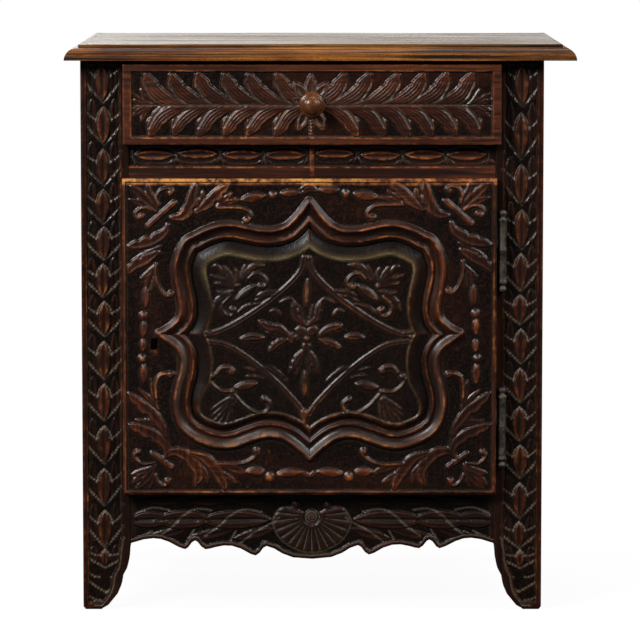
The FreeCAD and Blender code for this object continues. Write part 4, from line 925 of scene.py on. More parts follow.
def apron():
    """The face over x and shares of the height above the scalloped edge: overlapping leaves, beaded lines, a shell."""
    x = np.unique(np.round(np.concatenate([np.linspace(-INNER, INNER, 561)] + [
        [s * v for v, _ in scallop] for s in (-1, 1)]), 3))
    share = np.concatenate([[0, 0.008, 0.02], np.linspace(0.034, 1, 92)])
    edge = lower_edge(x)
    gs, gx = np.meshgrid(share, x, indexing="ij")
    top = 194
    gz = edge + gs * (top - edge)
    relief = Relief(gx, gz, -3.2 + 0.3 * noise(gx, gz, 4.5, 61))
    chance = np.random.default_rng(14)
    for side in (-1, 1):
        a, b, c = chance.uniform(-2, 2, 3)
        for begin, end, half in ((288, 224, 16), (246 + a, 158, 18), (176 + b, 66, 18)):
            relief.raised([(side * begin, 141), (side * (begin + end) / 2, 142), (side * end, 142.5)], half, 0, -3.6,
                          leaf_section, LENS, ribs=3)
            relief.cut([(side * (begin - 16), 141.5), (side * (begin * 0.45 + end * 0.55), 142),
                        (side * (end + 12), 142)], 1.2, 1.0, 0.25)
        for begin, end in ((262, 196), (196, 120), (122, 60)):
            relief.raised([(side * begin, 112), (side * (begin + end) / 2, 119), (side * end, 128)], 9, -0.9, -3.6,
                          leaf_section, LENS, ribs=1)
            relief.raised([(side * begin, 172), (side * (begin + end) / 2, 171), (side * end, 176)], 8, -0.9, -3.6,
                          leaf_section, LENS, ribs=1)
        for line in ([(237, 118), (217, 134), (202, 150), (180, 160), (157, 158)],
                     [(168, 117), (145, 134), (125, 152), (102, 159), (78, 155)],
                     [(117, 101), (90, 123), (62, 138), (51, 146)],
                     [(288, 144), (278, 152), (259, 160), (243, 162), (223, 158)],
                     [(278, 111), (251, 125)], [(196, 109), (184, 128)], [(129, 107), (119, 125)]):
            moved = [(side * (x0 + a), z0 + b * 0.6) for x0, z0 in line]
            relief.cut(moved, 2.1, 2.0, 0.62, 3.8)
    shell(relief, gx, gz)
    for x0, z0 in ((-25, 166), (25, 165)):
        relief.dot(x0, z0, 7, -0.4, -3.4, ring=True)
    carved = softened(np.minimum(relief.grid(), 0), 1)
    slope = np.gradient(edge, x)
    above = (gz - edge) / np.sqrt(1 + np.minimum(slope ** 2, 3))
    bead = np.exp(-((above - 5.2) / 0.9) ** 2)
    band = np.minimum(above - 7.5, INNER - 6 - abs(gx))
    blend = ease(band, -1.2, 0.8)
    face = carved * blend + (-0.8 + 0.1 * noise(gx, gz, 20, 62)) * (1 - blend)
    face = face - 1.1 * np.exp(-((above - 6.8) / 0.8) ** 2)
    face = np.minimum(face, 0) - 2.2 * (1 - ease(above, 0, 3.0)) ** 2
    relief.settle(face, blend)
    relief.dust = np.maximum(relief.dust, 0.32 * bead.ravel())
    marks = relief.marks(-3.5)
    marks[..., WEAR_AND_HIGHLIGHT] *= 0.8
    more(marks, WEAR_AND_HIGHLIGHT, 0.3 * (1 - ease(above, 0.5, 3)))
    sheet = np.stack([gx, FRONT - face, gz], axis=-1)
    board("scalloped_apron", sheet, FRONT + BOARD, "root", apron_finish, ["apron"], marks)


apron()


# The door's opening: a cusped line, mirrored left and right of the door's middle

upper_line = ((0, 206), (9.3, 193.6), (19.7, 181.2), (32, 168.9), (44.3, 162.7), (58.8, 160), (79.2, 161),
              (99.8, 165.3), (120.4, 168.9), (141.2, 167.5), (161.6, 160.6), (178, 152.3), (188.4, 147.5),
              (196.5, 138), (202.6, 125.7), (207.3, 109), (207.6, 92), (204.8, 74.2), (200.6, 55.7), (198.8, 39.1),
              (201.7, 24.8), (210.9, 13.8), (222.4, 5.2), (234, 0))
lower_line = ((234, 0), (219.2, -11.1), (206.8, -20.3), (199.6, -32), (197.6, -45), (199.9, -63.7), (204.8, -80.1),
              (208.9, -102.7), (207.4, -123.3), (201.2, -141.8), (190.4, -155.6), (173.9, -166.0), (153.5, -174.0),
              (135, -176.8), (114.3, -174), (93.7, -166.8), (73.1, -159.8), (52.5, -159.6), (34, -166.5),
              (17.6, -178.8), (0, -195))
half_line = np.concatenate([curve(upper_line, 5), curve(lower_line, 5)[1:]])


def inside_line(x, z):
    """The distance to the cusped line, positive inside the opening; the sign from which side of it z lies at |x|."""
    px, pz = abs(x).ravel(), z.ravel()
    away = np.full(px.size, 1e9)
    crossings = np.zeros(px.size, int)
    for (ax, az), (bx, bz) in zip(half_line[:-1], half_line[1:]):
        dx, dz = bx - ax, bz - az
        t = np.clip(((px - ax) * dx + (pz - az) * dz) / (dx * dx + dz * dz), 0, 1)
        away = np.minimum(away, (px - ax - t * dx) ** 2 + (pz - az - t * dz) ** 2)
        spans = (az > pz) != (bz > pz)
        crossings += spans & (ax + (pz - az) / (dz if dz != 0 else 1e-9) * dx > px)
    return (np.sqrt(away) * np.where(crossings % 2 == 1, 1, -1)).reshape(x.shape)


def moulding(s):
    """The section over the distance s from the line: up to a crest, down a hollow, a bead, and down to the edge."""
    flank = 3.0 * ease(s, -5.5, -0.8)
    cove = 3.0 - 8.6 * (1 - (1 - np.clip((s - 0.6) / 12.0, 0, 1)) ** 2.2)
    inner = 2.9 * np.sqrt(np.maximum(1 - ((s - 16.6) / 3.6) ** 2, 0)) - 1.2 * ease(s, 18, 22)
    return np.where(s < 0.6, flank, cove + inner)


# Carving in the door's corners and on its panel, from the door's middle line and the level of its side cusps.
# Each stroke: kind, its line from root to tip, and half width; its height comes with its kind

corner_above = [
    ("blade", [(-238.3, 193.8), (-257.9, 213.4), (-278.5, 230.9)], 5.2),
    ("blade", [(-236.2, 199.0), (-247.6, 217.5), (-251.3, 233.6)], 3.7),
    ("blade", [(-239.3, 189.7), (-259.9, 203.1), (-279.5, 209.9)], 3.5),
    ("curl", [(-234.1, 201.0), (-237.2, 213.4), (-231.1, 223.7), (-218.7, 226.8), (-212.5, 222.7),
              (-216.6, 219.6)], 2.5),
    ("curl", [(-238.3, 190.7), (-251.7, 196.9), (-264.1, 194.8), (-270.3, 186.6), (-266.1, 180.4),
              (-261.6, 183.5)], 2.5),
    ("bar", [(-250.7, 168.4), (-210.4, 204.1)], 4.9),
    ("leaf", [(-214.5, 181.4), (-198.0, 184.5), (-185.7, 201.0), (-180.5, 219.6), (-177.8, 233.6)], 7.2),
    ("blade", [(-177.4, 189.7), (-167.1, 207.2), (-165.0, 223.7)], 3.5),
    ("leaf", [(-175.3, 189.7), (-154.7, 207.2), (-138.2, 222.7), (-125.8, 233.0)], 6.6),
    ("blade", [(-145.4, 196.9), (-132.0, 209.3), (-119.6, 220.6)], 3.0),
    ("blade", [(-145.4, 196.9), (-127.9, 205.1), (-105.2, 210.3)], 3.0),
    ("curl", [(-142.3, 196.9), (-123.8, 196.5), (-105.2, 195.9), (-92.8, 188.6), (-90.7, 180.4), (-98.0, 176.3)], 3.1),
    ("husk", [(-106.2, 209.3), (-68.5, 215.1)], 8.2),
    ("bead", [(-56.7, 215.9)], 6.8),
    ("husk", [(-45.3, 218.6), (-13.4, 219.6)], 7.0),
    ("blade", [(-13.4, 217.5), (0.0, 225.4), (14.5, 220.6)], 2.7),
    ("leaf", [(-219.7, 170.1), (-224.9, 157.7), (-243.4, 145.3), (-266.1, 139.1), (-281.6, 136.0)], 6.6),
    ("blade", [(-231.1, 137.1), (-249.6, 126.7), (-269.2, 119.5)], 3.1),
    ("leaf", [(-235.2, 126.7), (-255.8, 114.4), (-272.3, 106.1), (-282.6, 93.7)], 6.4),
    ("blade", [(-240.3, 106.1), (-251.7, 93.7), (-263.0, 85.5)], 2.9),
    ("curl", [(-238.3, 108.2), (-239.3, 91.7), (-233.1, 71.0), (-222.8, 58.6), (-215.6, 61.7)], 2.9),
    ("blade", [(-245.5, 93.7), (-252.7, 83.4), (-253.3, 71.0)], 2.3),
    ("blade", [(-241.4, 87.5), (-243.4, 75.2), (-248.6, 65.9)], 2.3),
    ("husk", [(-254.8, 73.1), (-254.8, 40.1)], 6.8),
    ("bead", [(-258.5, 28.1)], 6.8),
    ("husk", [(-258.5, 18.4), (-258.5, -6.3)], 6.2),
]
corner_below = [
    ("husk", [(-258.9, -8.3), (-258.9, -27.9)], 6.2),
    ("bead", [(-261.0, -39.2)], 6.2),
    ("husk", [(-258.9, -48.5), (-258.9, -79.5)], 7.6),
    ("curl", [(-239.3, -100.1), (-239.7, -83.6), (-236.2, -69.2), (-226.9, -63.0), (-216.6, -64.6)], 3.4),
    ("blade", [(-237.2, -116.6), (-243.4, -91.8), (-247.6, -70.2)], 2.9),
    ("blade", [(-235.2, -118.7), (-251.7, -100.1), (-265.1, -87.7)], 2.9),
    ("leaf", [(-222.8, -159.9), (-229.0, -145.5), (-245.5, -124.9), (-266.1, -108.4), (-281.7, -93.9)], 6.8),
    ("blade", [(-224.9, -155.8), (-241.4, -141.4), (-272.3, -135.2)], 3.1),
    ("leaf", [(-222.8, -186.8), (-226.9, -172.3), (-245.5, -157.9), (-281.6, -142.4)], 6.8),
    ("blade", [(-218.7, -182.6), (-220.7, -170.3), (-233.1, -147.6), (-255.8, -133.1)], 2.5),
    ("bar", [(-245.5, -188.8), (-216.6, -209.5)], 4.9),
    ("blade", [(-241.4, -207.4), (-255.8, -215.7), (-278.5, -221.8)], 3.5),
    ("blade", [(-245.5, -211.5), (-266.1, -226.0), (-278.5, -236.3)], 3.7),
    ("blade", [(-241.4, -211.5), (-255.8, -230.1), (-272.4, -244.6)], 4.1),
    ("blade", [(-243.4, -215.7), (-247.6, -232.2), (-250.7, -243.5)], 2.9),
    ("curl", [(-245.5, -203.3), (-259.9, -205.3), (-270.3, -199.1), (-274.4, -190.9), (-268.6, -186.4)], 2.5),
    ("curl", [(-241.4, -221.8), (-235.2, -234.2), (-224.9, -239.4), (-218.7, -230.1), (-221.8, -232.2)], 2.5),
    ("leaf", [(-226.9, -195.0), (-214.5, -186.8), (-196.0, -190.9), (-179.5, -207.4), (-173.3, -221.8),
              (-179.5, -240.4)], 6.8),
    ("blade", [(-173.3, -205.3), (-163.0, -219.8), (-158.8, -236.3)], 3.1),
    ("leaf", [(-185.7, -187.8), (-163.0, -197.1), (-146.5, -215.7), (-136.1, -233.3), (-132.0, -246.7)], 6.6),
    ("blade", [(-142.3, -215.7), (-125.8, -226.0), (-113.4, -234.2)], 3.1),
    ("blade", [(-142.3, -205.3), (-121.7, -211.5), (-99.0, -219.8)], 4.2),
    ("curl", [(-146.5, -204.3), (-113.4, -205.3), (-92.8, -199.1), (-80.4, -187.8), (-82.9, -184.7)], 3.1),
    ("husk", [(-99.0, -216.7), (-70.1, -216.7)], 7.4),
    ("bead", [(-61.9, -226.0)], 7.4),
    ("husk", [(-51.5, -221.4), (-12.3, -217.7)], 7.0),
    ("blade", [(-12.3, -217.7), (-6.1, -220.8), (0.0, -226.0)], 2.7),
]
spray_above = [
    ("bead", [(-113.1, 74.9)], 3.8),
    ("husk", [(-115.2, 51.0), (-84.0, 74.9)], 7.4),
    ("blade", [(-116.2, 78.0), (-130.7, 89.4), (-143.2, 105.0), (-151.5, 103.9)], 2.8),
    ("blade", [(-116.2, 79.0), (-124.5, 91.5), (-132.8, 106.0)], 3.0),
    ("blade", [(-114.1, 80.1), (-113.1, 93.6), (-117.2, 103.9)], 2.7),
    ("blade", [(-111.0, 80.1), (-103.7, 93.6), (-99.6, 108.1)], 3.0),
    ("leaf", [(-104.8, 81.1), (-97.5, 95.6), (-85.1, 105.0), (-69.5, 106.0)], 3.9),
    ("curl", [(-95.4, 85.3), (-85.1, 93.6), (-72.6, 89.4), (-66.4, 79.0), (-72.6, 70.7), (-76.4, 72.8)], 2.7),
    ("blade", [(-116.2, 73.8), (-128.6, 81.1), (-154.6, 90.4)], 3.0),
    ("blade", [(-116.2, 70.7), (-132.8, 75.9), (-149.4, 78.0)], 2.7),
    ("blade", [(-117.2, 67.6), (-130.7, 62.4), (-145.2, 64.5)], 2.7),
    ("blade", [(-118.3, 65.5), (-134.9, 58.3), (-149.4, 47.9)], 3.0),
    ("blade", [(-122.4, 60.4), (-132.8, 52.1), (-145.2, 45.8), (-150.4, 33.4)], 3.0),
    ("curl", [(-122.4, 58.3), (-135.9, 43.8), (-132.8, 31.3), (-122.4, 27.2), (-116.6, 36.5), (-119.9, 37.1)], 2.5),
    ("strap", [(-8.3, 118.4), (-12.5, 99.8), (-27.0, 81.1), (-49.8, 60.4), (-74.7, 41.7), (-105.8, 20.9), (-132.8, 6.4),
               (-155.6, -1.9)], 4.0),
    ("blade", [(-49.8, 65.5), (-68.5, 63.5), (-83.0, 57.2)], 2.6),
    ("blade", [(-54.0, 60.4), (-70.6, 57.9), (-86.1, 50.0)], 2.4),
    ("blade", [(-78.9, 46.9), (-99.6, 41.7), (-115.2, 29.2)], 2.6),
    ("blade", [(-46.7, 47.9), (-31.1, 54.1), (-24.9, 50.0)], 2.4),
    ("blade", [(-62.3, 33.4), (-51.9, 35.5), (-43.6, 26.1)], 2.4),
]
spray_below = [
    ("strap", [(-163.9, -13.2), (-130.7, -18.3), (-101.7, -34.9), (-74.7, -55.7), (-45.7, -82.7), (-18.7, -111.7),
               (-8.3, -128.3)], 4.0),
    ("blade", [(-33.2, -78.5), (-54.0, -61.9), (-72.6, -51.5)], 2.6),
    ("blade", [(-33.2, -74.4), (-49.8, -59.8), (-64.3, -49.5)], 2.4),
    ("blade", [(-83.0, -59.8), (-93.4, -55.7), (-103.7, -53.6)], 2.4),
    ("blade", [(-70.6, -72.3), (-85.1, -68.1), (-101.7, -68.1)], 2.6),
    ("bead", [(-120.3, -90.9)], 3.8),
    ("husk", [(-117.2, -85.8), (-80.9, -78.9)], 7.4),
    ("curl", [(-122.4, -90.9), (-136.9, -90.9), (-149.4, -82.7), (-156.6, -72.3), (-151.5, -67.1)], 2.5),
    ("curl", [(-145.2, -64.0), (-136.9, -54.6), (-124.5, -54.6), (-121.4, -60.2)], 3.4),
    ("curl", [(-118.3, -95.1), (-103.7, -111.7), (-89.2, -122.1), (-74.7, -126.2), (-64.3, -120.0), (-62.3, -108.6),
              (-70.6, -103.4)], 2.7),
    ("blade", [(-122.4, -99.2), (-141.1, -111.7), (-155.6, -123.1)], 3.0),
    ("blade", [(-122.4, -100.3), (-141.1, -120.0), (-156.6, -133.5)], 2.7),
    ("blade", [(-121.4, -101.3), (-136.9, -124.1), (-151.5, -140.7)], 3.0),
    ("blade", [(-120.8, -101.7), (-132.8, -128.3), (-143.2, -145.9)], 2.7),
    ("blade", [(-119.9, -102.4), (-124.5, -128.3), (-132.8, -149.0)], 3.0),
    ("blade", [(-119.1, -102.4), (-118.3, -122.1), (-121.4, -140.7)], 2.7),
]
flower = [
    ("leaf", [(-5, 12), (-20, 24), (-23.5, 39), (-24.5, 51)], 4.4), ("blade", [(-7, 14), (-13, 31), (-15.6, 45)], 3.0),
    ("leaf", [(-3, 12), (10.4, 24), (13.1, 39), (18.1, 51)], 4.4), ("blade", [(-1.3, 14), (3.4, 31), (5.3, 45)], 3.0),
    ("lens", [(-5, 40), (-4, 64), (-2, 86)], 4.6),
    ("leaf", [(-9, -26), (-20.6, -42), (-29.5, -62)], 4.6), ("blade", [(-7, -28), (-14.8, -46), (-19.4, -65)], 3.2),
    ("blade", [(-3, -28), (0, -46), (2.6, -65)], 3.2), ("leaf", [(-1.2, -26), (6.5, -42), (12.5, -64)], 4.6),
    ("lens", [(-7, -58), (-7.8, -80), (-6.7, -102)], 4.6),
    ("lens", [(-28.5, -17), (-29.5, -7), (-28.5, 2)], 4.8), ("blade", [(-14, -7.5), (-26, -7.5)], 3.4),
    ("leaf", [(-32, -3), (-49.6, 8), (-65, 10), (-79, 19)], 5.0), ("blade", [(-34, -5), (-53.5, 0), (-68, 1.4)], 3.2),
    ("leaf", [(-33, -10), (-49.6, -16), (-63, -30)], 4.6),
    ("lens", [(-70, -7), (-90, -6.4), (-109, -9)], 6.0),
    ("leaf", [(16, -1), (32, 8.4), (52, 13)], 5.0), ("blade", [(16, -5), (35.5, 2.5), (50, 3.7)], 3.2),
    ("leaf", [(16, -9), (32, -15), (50, -23)], 4.8),
    ("lens", [(54, -6.4), (70, -5.2), (87, -8)], 5.6),
    ("petal", [(-6, -3), (-14, 4), (-22, 5)], 8.2), ("petal", [(-3, -3), (5, 4), (13, 5)], 8.2),
    ("petal", [(-5, -14), (-5, -22), (-5, -29)], 7.4), ("bead", [(-4.7, -8)], 6.8),
]
kinds = {
    "blade": (dished_section, BLADE, 0, 3.6),
    "leaf": (scoop_section, BROAD, 2, 4.0),
    "curl": (round_section, CURL, 0, 3.5),
    "bar": (flat_section, EVEN, 3, 3.7),
    "husk": (round_section, LENS, 3, 4.1),
    "strap": (flat_section, EVEN, 0, 2.9),
    "lens": (leaf_section, LENS, 2, 3.6),
    "petal": (hollow_section, LENS, 0, 3.4),
}


def strokes(relief, table, ground, seed, mirror=False, sway=(0, 0), lift=1.0, lobes=-1, broad=1.0):
    """Raises every stroke of a table from the ground; a mirrored quarter sways a little, as hand work does."""
    chance = np.random.default_rng(seed)
    wider = {"blade": 1.4 * broad, "leaf": 1.5 * broad, "curl": 1.15}
    for kind, line, half in table:
        line = np.array(line, float)
        if mirror:
            line[:, 0] = -line[:, 0]
        line = line + np.array(sway) + chance.uniform(-1.3, 1.3, 2) * (1 if mirror else 0.2)
        half = half * chance.uniform(0.94, 1.08) * wider.get(kind, 1)
        if kind == "bead":
            relief.dot(*line[0], half, ground + 4.1 * lift, ground, ring=half > 5.5)
            continue
        section, widths, ribs, high = kinds[kind]
        relief.raised(line, half, ground + high * lift, ground, section, widths, ribs,
                      lobes=(-lobes if mirror else lobes) if kind == "leaf" else 0)
        if kind == "curl":
            relief.dot(*line[-1], half * 1.7, ground + 4.2 * lift, ground)
        if kind == "leaf":
            relief.cut(line, 1.1, 0.8)
        if kind == "strap":
            relief.cut(line, 2.1, 2.6)


def door_height(gx, gz):
    """The door frame's face over (x, z) about its own middle: mouldings by the line, carved corners outside it."""
    s = inside_line(gx, gz)
    ground = -3.6
    relief = Relief(gx, gz, ground + 0.4 * noise(gx, gz, 4.2, 71) + 0.25 * noise(gx, gz, 11, 72))
    for mirror in (False, True):
        strokes(relief, corner_above, ground, 21, mirror, (0, 4.0 if mirror else 0))
        strokes(relief, corner_below, ground, 22, mirror, lobes=1)
    carved = softened(np.minimum(relief.grid(), 0.4), 1)
    flat = s + 7.5
    border = np.minimum(np.minimum(gx + DOOR_HALF, DOOR_HALF - gx), np.minimum(gz - DOOR_LOW, DOOR_TOP - gz))
    blend = (1 - ease(flat, -1.0, 1.4)) * ease(border, 4.5, 6.5)
    rim = np.where(flat > -1, -0.4, 0.0) + 0.1 * noise(gx, gz, 26, 73)
    face = carved * blend + rim * (1 - blend)
    ring = moulding(s + 0.35 * noise(gx, gz, 16, 74))
    face = np.where(s > -5.5, np.where(s < 0, np.maximum(ring, face), ring), face)
    face = face - 0.8 * np.exp(-((s + 6.6) / 1.0) ** 2)
    wide = np.where(DOOR_TOP - gz < 8, 6.6, 4.0)
    chamfer = 3.4 * (1 - ease(border, 0, wide))
    face = np.where(border < wide, np.minimum(face, 0) - chamfer, face)
    relief.settle(face, blend)
    return relief, s, border


def door_marks(relief, s, border, gx, gz):
    """Bell curves of s wear the crest and the bead, the outer edge is worn too, and a pale band runs along the top
    edge, paler to the left: worn wood plus a painted highlight where the top catches the light.
    """
    marks = relief.marks(-3.8)
    bead = np.exp(-((s + 0.8) / 1.5) ** 2) + 0.8 * np.exp(-((s - 16.6) / 1.2) ** 2)
    edge = 1 - ease(border, 0.8, 3.2)
    slow = 0.25 + 0.75 * ease(noise(gx, gz, 30, 77), -0.5, 0.5)
    marks[..., WEAR_AND_HIGHLIGHT] = np.where(s > -6, 0.3 * marks[..., WEAR_AND_HIGHLIGHT], marks[..., WEAR_AND_HIGHLIGHT])
    more(marks, WEAR_AND_HIGHLIGHT, (0.75 * bead + 0.42 * edge) * slow, 0.8)
    below_top = DOOR_TOP - gz
    # Pale band along the top edge, paler to the left: wear plus a painted highlight of the light on the top
    top_edge_wear_and_highlight = 1 - ease(below_top + 1.5 * noise(gx, gz, 20, 79), 7.5, 12.5)
    # More pale wear on the raised carving near the top: wear plus a painted highlight
    upper = ease(marks[..., LIFT], 0.3, 0.9) * (1 - ease(below_top, 26, 80))
    more(marks, WEAR_AND_HIGHLIGHT, 0.34 * upper * slow * (s < -6), 0.8)
    fading = 0.93 - 0.13 * ease(gx, -20, 200)
    marks[..., WEAR_AND_HIGHLIGHT] = np.maximum(marks[..., WEAR_AND_HIGHLIGHT], top_edge_wear_and_highlight * (fading + 0.1 * noise(gx, gz, 25, 78)))
    marks[..., LIFT] = np.maximum(marks[..., LIFT], top_edge_wear_and_highlight)
    marks[..., DUST_AND_HIGHLIGHT] = np.where(s > -8, 0.25 * marks[..., DUST_AND_HIGHLIGHT], marks[..., DUST_AND_HIGHLIGHT])
    # Pale wear and dust in the moulding's hollow on the lower half, more on the left: partly real, partly a painted
    # highlight where it faces up to the light
    flank = np.exp(-((s - 2.5) / 3.2) ** 2) * (1 - ease(gz - DOOR_TOP, -262, -226)) * (1 - 0.6 * ease(gx, -40, 60))
    more(marks, WEAR_AND_HIGHLIGHT, 0.22 * flank * slow)
    more(marks, DUST_AND_HIGHLIGHT, 0.5 * flank * slow)
    marks[..., LIFT] = np.where(s > -4.5, 0.3 + 0.4 * marks[..., LIFT], np.where(s > -8, 0.3, marks[..., LIFT]))
    rubbed = np.hypot((gx - KEY_X) / 8, (gz - (KEY_Z - 12)) / 7)
    more(marks, WEAR_AND_HIGHLIGHT, 0.4 * (1 - ease(rubbed, 0.5, 1.2)))
    return marks


def stile_edge():
    """Where the sight edge, s = 22, lies on the stiles: |x| over z."""
    z = np.linspace(-220, 220, 881)
    gz, gx = np.meshgrid(z, np.linspace(SHOULDER, REBATE_SIDE, 316), indexing="ij")
    return z, np.maximum(((inside_line(gx, gz) >= SIGHT) * gx).max(axis=1), SHOULDER)


def rail_edge(sense):
    """Where the sight edge lies on the top rail, sense 1, or the bottom rail, sense -1: |z| over |x|."""
    x = np.linspace(0, SHOULDER, 355)
    gx, gz = np.meshgrid(x, np.linspace(100, 215, 576), indexing="ij")
    return x, ((inside_line(gx, sense * gz) >= SIGHT) * gz).max(axis=1)


def door_sides(edge, rebate, outer):
    """A member's plain sides as reach and depth: the wall of the opening, the panel's rebate, the back, the edge."""
    return ((edge, REBATE_FRONT), (rebate, REBATE_FRONT), (rebate, DOOR_THICK), (outer, DOOR_THICK),
            (outer, DOOR_THICK / 2))


def door_member(name, finish, front, marks, sides):
    """A member of the door's frame from the points of its carved face and its plain sides."""
    rings = with_sides(front, sides) + (DOOR_MIDDLE, DOOR_FACE, DOOR_LEVEL)
    sleeve(name, rings, "door", finish, ["door_" + name], with_plain(marks, len(sides)))


def door_stile(name, side):
    """Rings up the stile, its face over shares of the width from the outer edge to the sight edge."""
    z = np.unique(np.round(np.concatenate([
        [DOOR_LOW, DOOR_LOW + 0.3, DOOR_LOW + 0.9, DOOR_TOP - 0.9, DOOR_TOP - 0.3, DOOR_TOP],
        [-REBATE_LOW, -REBATE_LOW + 0.02, REBATE_TOP, REBATE_TOP + 0.02],
        np.arange(DOOR_LOW + 2, DOOR_TOP - 1.5, 1.15)]), 3))
    share = np.concatenate([[0, 0.003, 0.008], np.linspace(0.018, 1, 98)])
    edge = np.interp(z, *stile_edge())
    gz, gs = np.meshgrid(z, share, indexing="ij")
    gx = side * (DOOR_HALF - gs * (DOOR_HALF - edge[:, None]))
    relief, s, border = door_height(gx, gz)
    marks = door_marks(relief, s, border, gx, gz)
    face = relief.grid()
    if side < 0:
        keyhole = (abs(gx - KEY_X) < 4.7) & (abs(gz - KEY_Z) < 8.5)
        face = np.where(keyhole, -16.0, face)
        marks[keyhole] = 0
    rebate = np.where((z > -REBATE_LOW) & (z < REBATE_TOP), REBATE_SIDE, edge + 0.04)
    sides = [(side * reach, deep, z) for reach, deep in door_sides(edge, rebate, DOOR_HALF)]
    door_member(name, stile_finish, np.stack([gx, -face, gz], axis=-1), marks, sides)


def door_rail(name, sense, rebate):
    """Rings along the rail, its face over shares of the width from the outer edge to the sight edge."""
    x = np.linspace(-SHOULDER, SHOULDER, 309)
    share = np.concatenate([[0, 0.004, 0.011], np.linspace(0.022, 1, 76)])
    edge = np.interp(abs(x), *rail_edge(sense))
    outer = DOOR_TOP if sense > 0 else -DOOR_LOW
    gx, gs = np.meshgrid(x, share, indexing="ij")
    gz = sense * (outer - gs * (outer - edge[:, None]))
    relief, s, border = door_height(gx, gz)
    marks = door_marks(relief, s, border, gx, gz)
    sides = [(x, deep, sense * reach) for reach, deep in door_sides(edge, rebate, outer)]
    door_member(name, door_rail_finish, np.stack([gx, -relief.grid(), gz], axis=-1), marks, sides)


def door_panel():
    """The panel over (x, z): a bevel that rises with s from the opening's edge to the field, then straps and sprays."""
    loose = 0.2
    x = np.concatenate([[-REBATE_SIDE + loose], np.linspace(-215, 215, 336), [REBATE_SIDE - loose]])
    z = np.concatenate([[-REBATE_LOW + loose], np.linspace(-177, 188, 286), [REBATE_TOP - loose]])
    gz, gx = np.meshgrid(z, x, indexing="ij")
    s = inside_line(gx, gz)
    ground = -7.0 - 1.6
    relief = Relief(gx, gz, ground + 0.3 * noise(gx, gz, 4.4, 81) + 0.2 * noise(gx, gz, 13, 82))
    for mirror in (False, True):
        aside = (-8 if mirror else 0, 0)
        strokes(relief, spray_above, ground, 31, mirror, aside, 0.95, broad=0.8)
        strokes(relief, spray_below, ground, 32, mirror, aside, 0.95, broad=0.5)
    strokes(relief, flower, ground, 33, broad=0.85)
    relief.raised([(-8.6, -126), (-8.6, -147)], 7.5, ground + 3.2, ground, flat_section, ((0, 1), (1, 0.1)))
    for side in (-1, 1):
        relief.raised([(side * 166 - 4, -8), (side * 150 - 4, 0), (side * 166 - 4, 2)], 3.0, ground + 3.0, ground)
    carved = softened(relief.grid(), 1)
    brink = 45 - 11 * (1 - ease(gz, -125, -75))
    bevel = -12 + 5.2 * ease(s, SIGHT, brink - 0.5)
    blend = ease(s, brink - 1.5, brink + 2)
    face = bevel * (1 - blend) + carved * blend
    face = face + 0.9 * np.exp(-((s - brink) / 1.1) ** 2) - 0.6 * np.exp(-((s - 24.5) / 1.3) ** 2)
    face = np.where(s < 20.3, -REBATE_FRONT, face)
    relief.settle(face, blend)
    marks = relief.marks(ground)
    near_field = np.clip((face - ground + 0.4) / 3.0, 0, 1)
    marks[..., LIFT] = np.where(s > brink + 2, near_field, 0.15)
    # Pale dust rising up the top of the bevel and along the field's edge: settled dust plus a painted highlight where
    # they face up to the light
    rise = ease(s, 32, 46) ** 2 * (1 - ease(s, 45.5, 47.5))
    above = ease(gz, 40, 120)
    line = np.exp(-((s - brink - 0.6) / 1.3) ** 2)
    slow = 0.65 + 0.35 * noise(gx, gz, 22, 83)
    marks[..., DUST_AND_HIGHLIGHT] = np.where(s > brink - 1, marks[..., DUST_AND_HIGHLIGHT], 0.2 * marks[..., DUST_AND_HIGHLIGHT])
    more(marks, DUST_AND_HIGHLIGHT, (0.6 * above * rise + (0.2 + 0.6 * above) * line) * slow)
    away = abs(gz + 8)
    # A pale streak down the middle stems and the drop: a painted highlight, carried as wear
    glow = np.exp(-((gx + 5) / 4.5) ** 2) * ((away > 44) & (away < 96) | (gz < -120)) * (s > brink + 2)
    more(marks, WEAR_AND_HIGHLIGHT, 0.35 * glow * near_field, 0.8)
    sheet = np.stack([gx + DOOR_MIDDLE, DOOR_FACE - face, gz + DOOR_LEVEL], axis=-1)
    board("carved_panel", sheet, DOOR_FACE + DOOR_THICK, "door", panel_finish, ["door_panel"], marks)


door_stile("stile_lock", -1)
door_stile("stile_hinge", 1)
door_rail("rail_top", 1, REBATE_TOP)
door_rail("rail_bottom", -1, REBATE_LOW)
door_panel()


# Hinges: a turned barrel and finial on each half, with the leaf that is let into the wood

def hinge_half(level, name, way, body):
    """The barrel's radius over its height from the parting line: rings, a collar, a neck and a domed finial."""
    profile = np.array([(2.9, 0.15), (6.3, 0.15), (6.9, 0.6), (7.0, 3), (6.5, 4.2), (6.6, 20), (6.9, 30), (6.9, 44),
                        (7.4, 46), (8.0, 48), (8.0, 50), (7.2, 51.2), (5.2, 52), (4.4, 53.2), (4.4, 54.2), (5.6, 55.4),
                        (6.8, 57.2), (7.2, 59), (6.8, 61), (5.6, 62.8), (3.6, 63.8), (0.12, 64.1)])
    rings = lathe_points(profile * (1, way), 40, (PIN_X, PIN_Y, level), True)
    thin = 1.5
    x, y = (PIN_X - 35, PIN_X), (PIN_Y - thin, PIN_Y + thin)
    if body == "root":
        x, y = (PIN_X - thin, PIN_X + thin), (PIN_Y, FRONT + 26)
    leaf = np.array([(a, b, c) for c in sorted((level + way * 5, level + way * 43)) for b in y for a in x])
    box = np.array([(0, 2, 3, 1), (4, 5, 7, 6), (0, 1, 5, 4), (2, 6, 7, 3), (0, 4, 6, 2), (1, 3, 7, 5)])
    points = np.concatenate([rings.reshape(-1, 3), leaf])
    made("hinge_" + name, points, tube(*rings.shape[:2]) + [len(points) - 8 + box],
         body, hinge_finish, ["hinge_" + name], smooth=35)


for place, level in (("upper", 567.0), ("lower", 290.0)):
    hinge_half(level, place + "_post_half", -1, "root")
    hinge_half(level, place + "_door_half", 1, "door")


